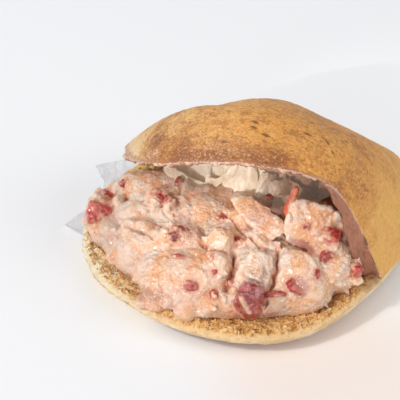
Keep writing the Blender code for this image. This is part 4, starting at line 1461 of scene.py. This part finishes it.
BITS = (  # x, y, half sizes and turn of the smaller bits that show in the cream
    (-29, -20, (2.8, 1.1, 1.4), 20),  # upper left
    (-53, -34, (2.6, 1.2, 1.4), 60),
    (-47, -27, (1.9, 1.1, 1.2), 100),
    (-25, -17, (1.0, 2.6, 1.2), 20),
    (1, -22.5, (2.9, 2.7, 2.4), 0),  # the orange disc in the middle
    (15, -31, (1.6, 2.8, 1.6), 150),  # beside the ball
    (-15, -42, (2.4, 0.8, 1.0), 20),
    (8, -33, (1.0, 0.8, 0.9), 65),
    (12, -8, (1.4, 1.0, 1.1), 15),
    (10, -2, (2.2, 1.0, 1.3), 40),  # in the dark hole on the crest
    (14, -59.5, (2.1, 1.5, 1.8), 60),  # in the large lump
    (21, -55, (1.7, 1.4, 1.6), 10),
    (18, -50, (1.0, 0.8, 1.0), 70),
    (14, -46, (1.9, 0.6, 0.8), 120),
    (3, -53, (2.2, 0.6, 0.8), 30),
    (47, -36.5, (3.2, 1.6, 1.6), 10),  # in the lump at the right
    (44.5, -36, (1.6, 1.2, 1.3), 80),
    (51, -28, (1.0, 2.2, 1.2), 10),
    (42, -42, (3.6, 0.9, 1.1), 40),
    (50, -18, (2.6, 1.8, 1.8), 55),
    (38, -16, (1.1, 0.9, 1.0), 35),
    (52, -5, (1.2, 2.4, 1.4), 35),  # the right end
    (55, -7, (1.9, 1.6, 1.6), 80),
    (54, -3, (1.3, 1.0, 1.4), 20),
    (24, -46, (1.0, 2.4, 1.4), 140),
    (38, -45, (1.2, 2.6, 1.4), 20),
)
FLESH = {  # dark and light colour of each kind of flesh, and the colour of the veil on it
    "wet_tomato": ((146, 32, 32), (206, 82, 68), (214, 136, 120)),
    "pale_tomato": ((214, 74, 44), (236, 128, 88), (238, 150, 112)),
    "wine_tomato": ((112, 16, 28), (184, 50, 54), (204, 140, 140)),
    "dark_tomato": ((96, 12, 24), (160, 36, 44), (176, 84, 84)),
    "red_tomato": ((168, 30, 30), (224, 84, 68), (234, 136, 116)),
}
SPECIAL_FLESH = {  # pieces that aren't of the first kind
    "tomato_spike": "pale_tomato",
    "tomato_front_large": "wine_tomato",
    "tomato_hollow": "dark_tomato",
    "tomato_rim_cube": "red_tomato",
    "tomato_right": "red_tomato",
    "tomato_right_small": "red_tomato",
}
TOMATO_SEED = 200
BIT_SEED = 400
BIT_TAPER = 0.7
BIT_UNEVENNESS = 0.3
ABOVE_ALL = 80.0  # height from which the bits are dropped on the cheese
PIECE_CREAM = 1.6  # how far above the cheese the cream reaches on a large piece
BIT_CREAM = 0.5  # and on a bit
STREAK_RISE = 0.9  # how far the strings stand out, and how pale they are
SKIN_FACING = (0.5, -0.3, 0.8)  # the side of a piece that still has its skin


def turned(points, tilt, turn):
    return leaning(points, (tilt, tilt / 2, turn))


def diced_points(directions, size, taper, seed, unevenness=0.07):
    """A cube of flesh with rounded edges and a soft, porous surface."""
    boxy = np.sum(np.abs(directions) ** 4, axis=1) ** -0.25
    points = directions * boxy[:, None] * np.array(size) / 2
    points[:, :2] *= blend_to(1.0, taper, np.clip(0.5 + points[:, 2] / size[2], 0, 1))[:, None]
    place = points + 40.0 * seed
    uneven = unevenness * min(size) * (creases(place, 9.0, seed) - 0.4)
    veins = 0.3 * creases(place * (1, 1, 0.5), 4.0, seed + 1)
    return points + directions * (uneven + veins)[:, None]


def collar_lumps(chance):
    """Small lumps of cheese that lie against the pieces of tomato and over their edges."""
    rows = []
    for name, middle, size, tilt, turn, taper in TOMATOES:
        count = COLLARS.get(name, 0)
        for index in range(count):
            around = 2 * math.pi * (index + chance.uniform(0, 0.8)) / count
            side = np.array([math.cos(around), math.sin(around), 0.0]) * np.array(size) * 0.56
            side[2] = chance.uniform(-0.35, 0.2) * size[2]
            place = np.array(middle) + turned(side[None, :], tilt, turn)[0]
            half = chance.uniform(1.4, 3.0, size=3)
            rows.append((place, half, chance.uniform(-40, 40, size=3), 0.3, PEACH))
    return rows


def along_streaks(points):
    """1 on the pale strings across the large piece of tomato, 0 beside them."""
    share = np.zeros(len(points))
    for start, end, width in STREAKS:
        away = away_from_line(points, start, end)
        share = np.maximum(share, smooth_step((1.5 * width - away) / width))
    return share


def mark_cream(mesh, cheese_tree, reach):
    """How much cream is smeared on each point of a piece that lies in the cheese."""
    points = points_of(mesh)
    height = np.empty(len(points))
    for index, point in enumerate(points):
        place, normal, face, distance = cheese_tree.find_nearest(Vector(point * MM))
        out = (Vector(point * MM) - place).dot(normal)
        height[index] = math.copysign(distance, out) / MM
    smear = creases(points, 4.0, 301) - 0.5
    cream = 1 - smooth_step((height - 0.9 * smear) / reach)
    set_mark(mesh, "cream", np.maximum(cream, STREAK_RISE * along_streaks(points)))


def tomato_mesh(name, middle, size, tilt, turn, taper, seed):
    directions, faces = ball_directions(5)
    points = turned(diced_points(directions, size, taper, seed), tilt, turn) + np.array(middle)
    points += directions * STREAK_RISE * along_streaks(points)[:, None]
    mesh = new_mesh(name, [points], [faces])
    skin_side = turned(directions, tilt, turn) @ np.array(SKIN_FACING)
    set_mark(mesh, "skin", smooth_step((skin_side - 0.45) / 0.2))
    mesh.shade_smooth()
    return mesh


def bits_mesh(cheese_tree):
    """The small bits of tomato, half sunk in the cheese where they show."""
    directions, faces = ball_directions(3)
    points, all_faces = [], []
    for index, (x, y, half, turn) in enumerate(BITS):
        place = cheese_tree.ray_cast(Vector((x, y, ABOVE_ALL)) * MM, Vector((0, 0, -1)))[0]
        size = 2 * np.array(half) * (1.1, 1.1, 0.7)
        bit = diced_points(directions, size, BIT_TAPER, BIT_SEED + index, BIT_UNEVENNESS)
        points.append(turned(bit, 10, turn) + np.array(place) / MM - (0, 0, 0.3 * half[2]))
        all_faces.append(faces + index * len(directions))
    mesh = new_mesh("tomato_bits", points, all_faces)
    set_mark(mesh, "skin", np.ones(len(mesh.vertices)))
    mark_cream(mesh, cheese_tree, BIT_CREAM)
    mesh.shade_smooth()
    return mesh


def tomato_finish(name, dark, light, veil):
    """Wet tomato: translucent flesh with paler veins, and cream smeared over it."""
    tomato = Finish(
        name,
        Roughness=0.25,
        Subsurface_Weight=0.2,
        Subsurface_Radius=(0.003, 0.0006, 0.0004),
        Coat_Weight=0.9,
        Coat_Roughness=0.06,
    )
    flesh = tomato.noise(2.8, 4, 0.6, distortion=0.8)
    grain = tomato.noise(0.9, 3, 0.6)
    net = tomato.cells(3.2, "DISTANCE_TO_EDGE")
    patches = tomato.noise(6.5, 2, 0.5, distortion=1.0)
    colour = tomato.layers(
        tomato.mix(flesh.step(0.35, 0.65), dark, light),
        (tomato.attribute("skin") * 0.35, dark),
        (patches.step(0.5, 0.62) * 0.6, veil),
        ((0.1 - net).step(0.0, 0.1) * 0.2, (236, 176, 150)),
        ((0.45 - grain).step(0.0, 0.15) * 0.5, (96, 22, 26)),
        (tomato.attribute("cream") * 0.95, (234, 186, 154)),
    )
    return tomato.painted(colour, (flesh, 0.7), (grain, 0.45))


# ---- paper
SHADED_END = ((30, 4, 36), (22, 16, 18))  # where painted shade turns the lining grey-brown
LINING_LEFT = (-40.0, -8.5)  # the lining's foot, left and right
LINING_RIGHT = (30.0, 8.0)
LINING_HEIGHT = 28.0
LINING_ENDS = 0.62  # its height at its ends, as a share of the height in between
LINING_LEAN = 6.0  # how far its upper edge leans back
SWAY = (12.0, 9.0, 2.0)  # turns along, up and depth of its sideways waves
RAGGEDNESS = ((23.0, 0.0, 0.10), (41.0, 1.0, 0.08))  # turns, phase, depth of its torn edge
FLAPS = (  # three points along the upper and the lower edge of each fold that stands forward
    (
        ((-36, -13, 33), (-30, -12, 34), (-14, -9, 27)),
        ((-34, -14, 28), (-29, -13, 26), (-23, -12, 22)),
    ),
    (((-18, -8, 37), (-14, -7, 33), (-9, -6, 37)), ((-16, -9, 27), (-14, -9, 26), (-12, -8, 29))),
    (((-12, -5, 30), (-7, -2, 40), (1, -1, 41)), ((-9, -7, 24), (-3, -6, 23), (4, -4, 26))),
    (((5, 0, 39), (8, 0, 41), (10, 1, 39)), ((4, -4, 28), (7, -4, 27), (9, -3, 28))),
    (((10, -1, 37), (13, -1, 40), (17, 1, 40)), ((11, -2, 35.5), (15, -3, 34), (19, -1, 34))),
    (((13, 3, 40), (19, 4, 39), (27, 5, 36)), ((15, 2, 26), (21, 3, 25), (28, 5, 24))),
)
FLAP_BULGE = 2.2
FLAP_TUCK = 3.5  # how far each fold's ends turn back towards the lining
FLAP_ROUNDING = 1.0  # how far they bow out halfway down
FLAP_SEED = 520
FLAP_COLUMNS = 60
FLAP_ROWS = 50
LINING_COLUMNS = 220
LINING_ROWS = 90
SHEET_THICKNESS = 0.22
IN_POCKET = 12.0  # a height inside the pocket, from which its roof is looked for
ROOF_GAP = 1.2  # how far the lining keeps under the roof of the pocket
CORNERS = (  # azimuth, and how far the sheet reaches out there
    (150, 58.5), (161, 67), (171, 82), (180, 89), (184, 79), (192, 72), (200, 75), (211, 82),
    (215, 72), (222, 58.5),
)
CORNER_TUCK = 57.5  # how near the loaf's middle the sheet begins, under the rim
CORNER_HEIGHT = 0.35  # how high the middle of its thickness lies at the tuck
CORNER_LIFT = 1.8  # how far its tips lift off the table
CORNER_REACH = 31.0  # how far beyond that they lift so much
CORNER_COLUMNS = 160
CORNER_ROWS = 60


def sheet_faces(rows, columns, start):
    """Faces of a closed sheet whose front and back are grids of the same points."""
    quads = grid_quads(rows, columns, 0, False)
    other = rows * columns
    point = np.arange(other).reshape(rows, columns)
    ring = np.concatenate([point[0], point[1:, -1], point[-1, -2::-1], point[-2:0:-1, 0]])
    after = np.roll(ring, -1)
    sides = np.stack([ring, after, after + other, ring + other], -1)
    return np.concatenate([quads, quads[:, ::-1] + other, sides]) + start


def sheet_mesh(name, grids):
    """Thin closed sheets round grids of points."""
    points, faces, start = [], [], 0
    for grid in grids:
        across = np.cross(np.gradient(grid, axis=0), np.gradient(grid, axis=1))
        across /= np.linalg.norm(across, axis=-1, keepdims=True) + 1e-9
        points.append((grid + across * SHEET_THICKNESS / 2).reshape(-1, 3))
        points.append((grid - across * SHEET_THICKNESS / 2).reshape(-1, 3))
        faces.append(sheet_faces(*grid.shape[:2], start))
        start += 2 * grid.shape[0] * grid.shape[1]
    mesh = new_mesh(name, points, faces)
    shape = shape_of(mesh)
    bmesh.ops.recalc_face_normals(shape, faces=shape.faces)
    written(shape, mesh).shade_smooth()
    return mesh


def curve_through(three, along):
    """A smooth curve through three points."""
    first, middle, last = (np.array(point, float) for point in three)
    along = np.asarray(along)[..., None]
    bend = middle - (first + last) / 2
    return first + (last - first) * along + bend * (4 * along * (1 - along)) ** 0.8


def flap_grid(upper, lower, seed):
    """A fold of the sheet that stands forward between its upper and its lower edge."""
    columns, rows = np.linspace(0, 1, FLAP_COLUMNS), np.linspace(0, 1, FLAP_ROWS)
    along, down = np.meshgrid(columns, rows, indexing="ij")
    top, foot = curve_through(upper, along), curve_through(lower, along)
    grid = top + (foot - top) * down[..., None]
    bulge = FLAP_BULGE * np.sin(np.pi * down) * np.sin(np.pi * along)
    bulge = bulge - FLAP_TUCK * (2 * along - 1) ** 4
    flat = np.stack([24 * along, 14 * down, 0 * along], -1)
    grid[..., 1] -= bulge + 0.8 * creases(flat, 9, seed)
    grid[..., 0] += FLAP_ROUNDING * np.sin(np.pi * down) * (2 * along - 1)
    return grid


def lining_mesh(bread_tree):
    """The crumpled sheet that stands behind the heap and lines the raised half."""
    along = np.linspace(0, 1, LINING_COLUMNS)[:, None]
    up = np.linspace(0, 1, LINING_ROWS)[None, :]
    flat = np.stack([70 * along + 9 * up, 22 * up + 0 * along, 0 * along + 0 * up], -1)
    folds = 2.6 * (creases(flat * (1, 0.5, 1), 20, 501) - 0.4) + 0.7 * creases(flat, 8, 505)
    x = LINING_LEFT[0] + (LINING_RIGHT[0] - LINING_LEFT[0]) * along
    x = x + SWAY[2] * np.sin(SWAY[0] * along + SWAY[1] * up)
    y = LINING_LEFT[1] + (LINING_RIGHT[1] - LINING_LEFT[1]) * along + LINING_LEAN * up
    y = y - folds * (0.3 + 0.7 * up)
    height = LINING_HEIGHT * (LINING_ENDS + (1 - LINING_ENDS) * np.sin(np.pi * along**0.8))
    ragged = sum(depth * np.sin(turns * along + phase) for turns, phase, depth in RAGGEDNESS)
    foot = heap_height(np.stack([x[:, :1], y[:, :1]], -1)) - 1.0
    grids = [np.stack([x, y, foot + height * up * (1 + ragged)], -1)]
    for seed, (upper, lower) in enumerate(FLAPS):
        grids.append(flap_grid(upper, lower, FLAP_SEED + seed))
    for grid in grids:
        for point in grid.reshape(-1, 3):
            start = Vector((point[0], point[1], IN_POCKET)) * MM
            roof = bread_tree.ray_cast(start, Vector((0, 0, 1)))[0]
            if roof is not None:
                point[2] = min(point[2], roof[2] / MM - ROOF_GAP)
    return sheet_mesh("paper_lining_sheet", grids)


def corners_mesh():
    """The two corners of the sheet that show beside the loaf, tucked under its rim."""
    degrees, reach = np.array(CORNERS, float).T
    turns = np.radians(np.linspace(degrees[0], degrees[-1], CORNER_COLUMNS))[:, None]
    reach = np.interp(np.degrees(turns), degrees, reach)
    along = np.linspace(0, 1, CORNER_ROWS)[None, :]
    radius = CORNER_TUCK + (reach - CORNER_TUCK) * along
    x, y = radius * np.cos(turns), radius * np.sin(turns)
    lift = CORNER_LIFT * ((radius - CORNER_TUCK) / CORNER_REACH) ** 2
    soft = 0.5 * along * (creases(np.stack([x, y, 0 * x], -1), 14, 551) + 1.2)
    return sheet_mesh("paper_corner_sheet", [np.stack([x, y, CORNER_HEIGHT + lift + soft], -1)])


def paper_finish(name, light, dark, shade, size):
    """Thin waxed paper: soft sheen, faint grey mottling, a faint painted glow for light through its
    folds, painted shade at the lining's far end.
    """
    paper = Finish(
        name,
        Roughness=0.42,
        Subsurface_Weight=0.12,
        Subsurface_Radius=(0.002, 0.0018, 0.0014),
        # Painted light: the paper glows faintly, standing in for light through it.
        Emission_Color=shader_colour(light),
        Emission_Strength=0.06,
    )
    clouds = paper.noise(size, 4, 0.6)
    fibres = paper.noise(1.1, 3, 0.6)
    crinkles = paper.noise(4, 3, 0.6, distortion=1.0)
    colour = paper.layers(
        paper.mix(clouds.step(0.38, 0.68), light, dark),
        (paper.spot(*SHADED_END) * 0.95, shade),
        (fibres.step(0.5, 0.7) * 0.2, (250, 244, 236)),
    )
    return paper.painted(colour, (clouds, 1.0), (crinkles, 0.5), (fibres, 0.12))


# ---- the sandwich
def stand_in(piece, slot, *nodes):
    """Put a finished piece in the place of CAD nodes."""
    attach(piece, BODY)
    if nodes:
        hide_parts(*nodes)


def main():
    add_camera()
    add_stage()
    finishes = crust_finish(), under_crust_finish(), crumb_finish(), lip_finish()
    bread = add_piece("bread_loaf", bread_mesh(), *finishes)
    stand_in(bread, "bread_crust", "bread")
    crumbs = add_piece("bread_crumbs", crumbs_mesh(bread.data, crumbs_finish()))
    stand_in(crumbs, "bread_crust")
    bread_tree = tree_of(bread.data)
    cheese = add_piece("cheese_heap", cheese_mesh(bread_tree), cheese_finish())
    stand_in(cheese, "soft_cheese", "cheese_filling")
    cheese_tree = tree_of(cheese.data)
    flesh = {name: tomato_finish(name, *colours) for name, colours in FLESH.items()}
    tomatoes = []
    for seed, row in enumerate(TOMATOES):
        mesh = tomato_mesh(*row, TOMATO_SEED + seed)
        mark_cream(mesh, cheese_tree, PIECE_CREAM)
        tomatoes.append(mesh)
        finish = flesh[SPECIAL_FLESH.get(row[0], "wet_tomato")]
        stand_in(add_piece(row[0] + "_flesh", mesh, finish), "tomato", row[0])
    tomatoes.append(bits_mesh(cheese_tree))
    stand_in(add_piece("tomato_bits", tomatoes[-1], flesh["wet_tomato"]), "tomato")
    mark_stain(cheese.data, tomatoes)
    # The lining's warm cream is partly painted warm light thrown from the bread.
    waxed = paper_finish("waxed_paper", (255, 243, 222), (234, 210, 178), (160, 108, 74), 8)
    lining = add_piece("paper_lining_sheet", lining_mesh(bread_tree), waxed)
    stand_in(lining, "thin_paper", "paper_lining")
    # The corners' cool grey is partly painted shade on the same white paper.
    outer = paper_finish("outer_paper", (232, 232, 236), (220, 219, 224), (220, 219, 224), 12)
    corners = add_piece("paper_corner_sheet", corners_mesh(), outer)
    stand_in(corners, "thin_paper", "paper_corners")


main()
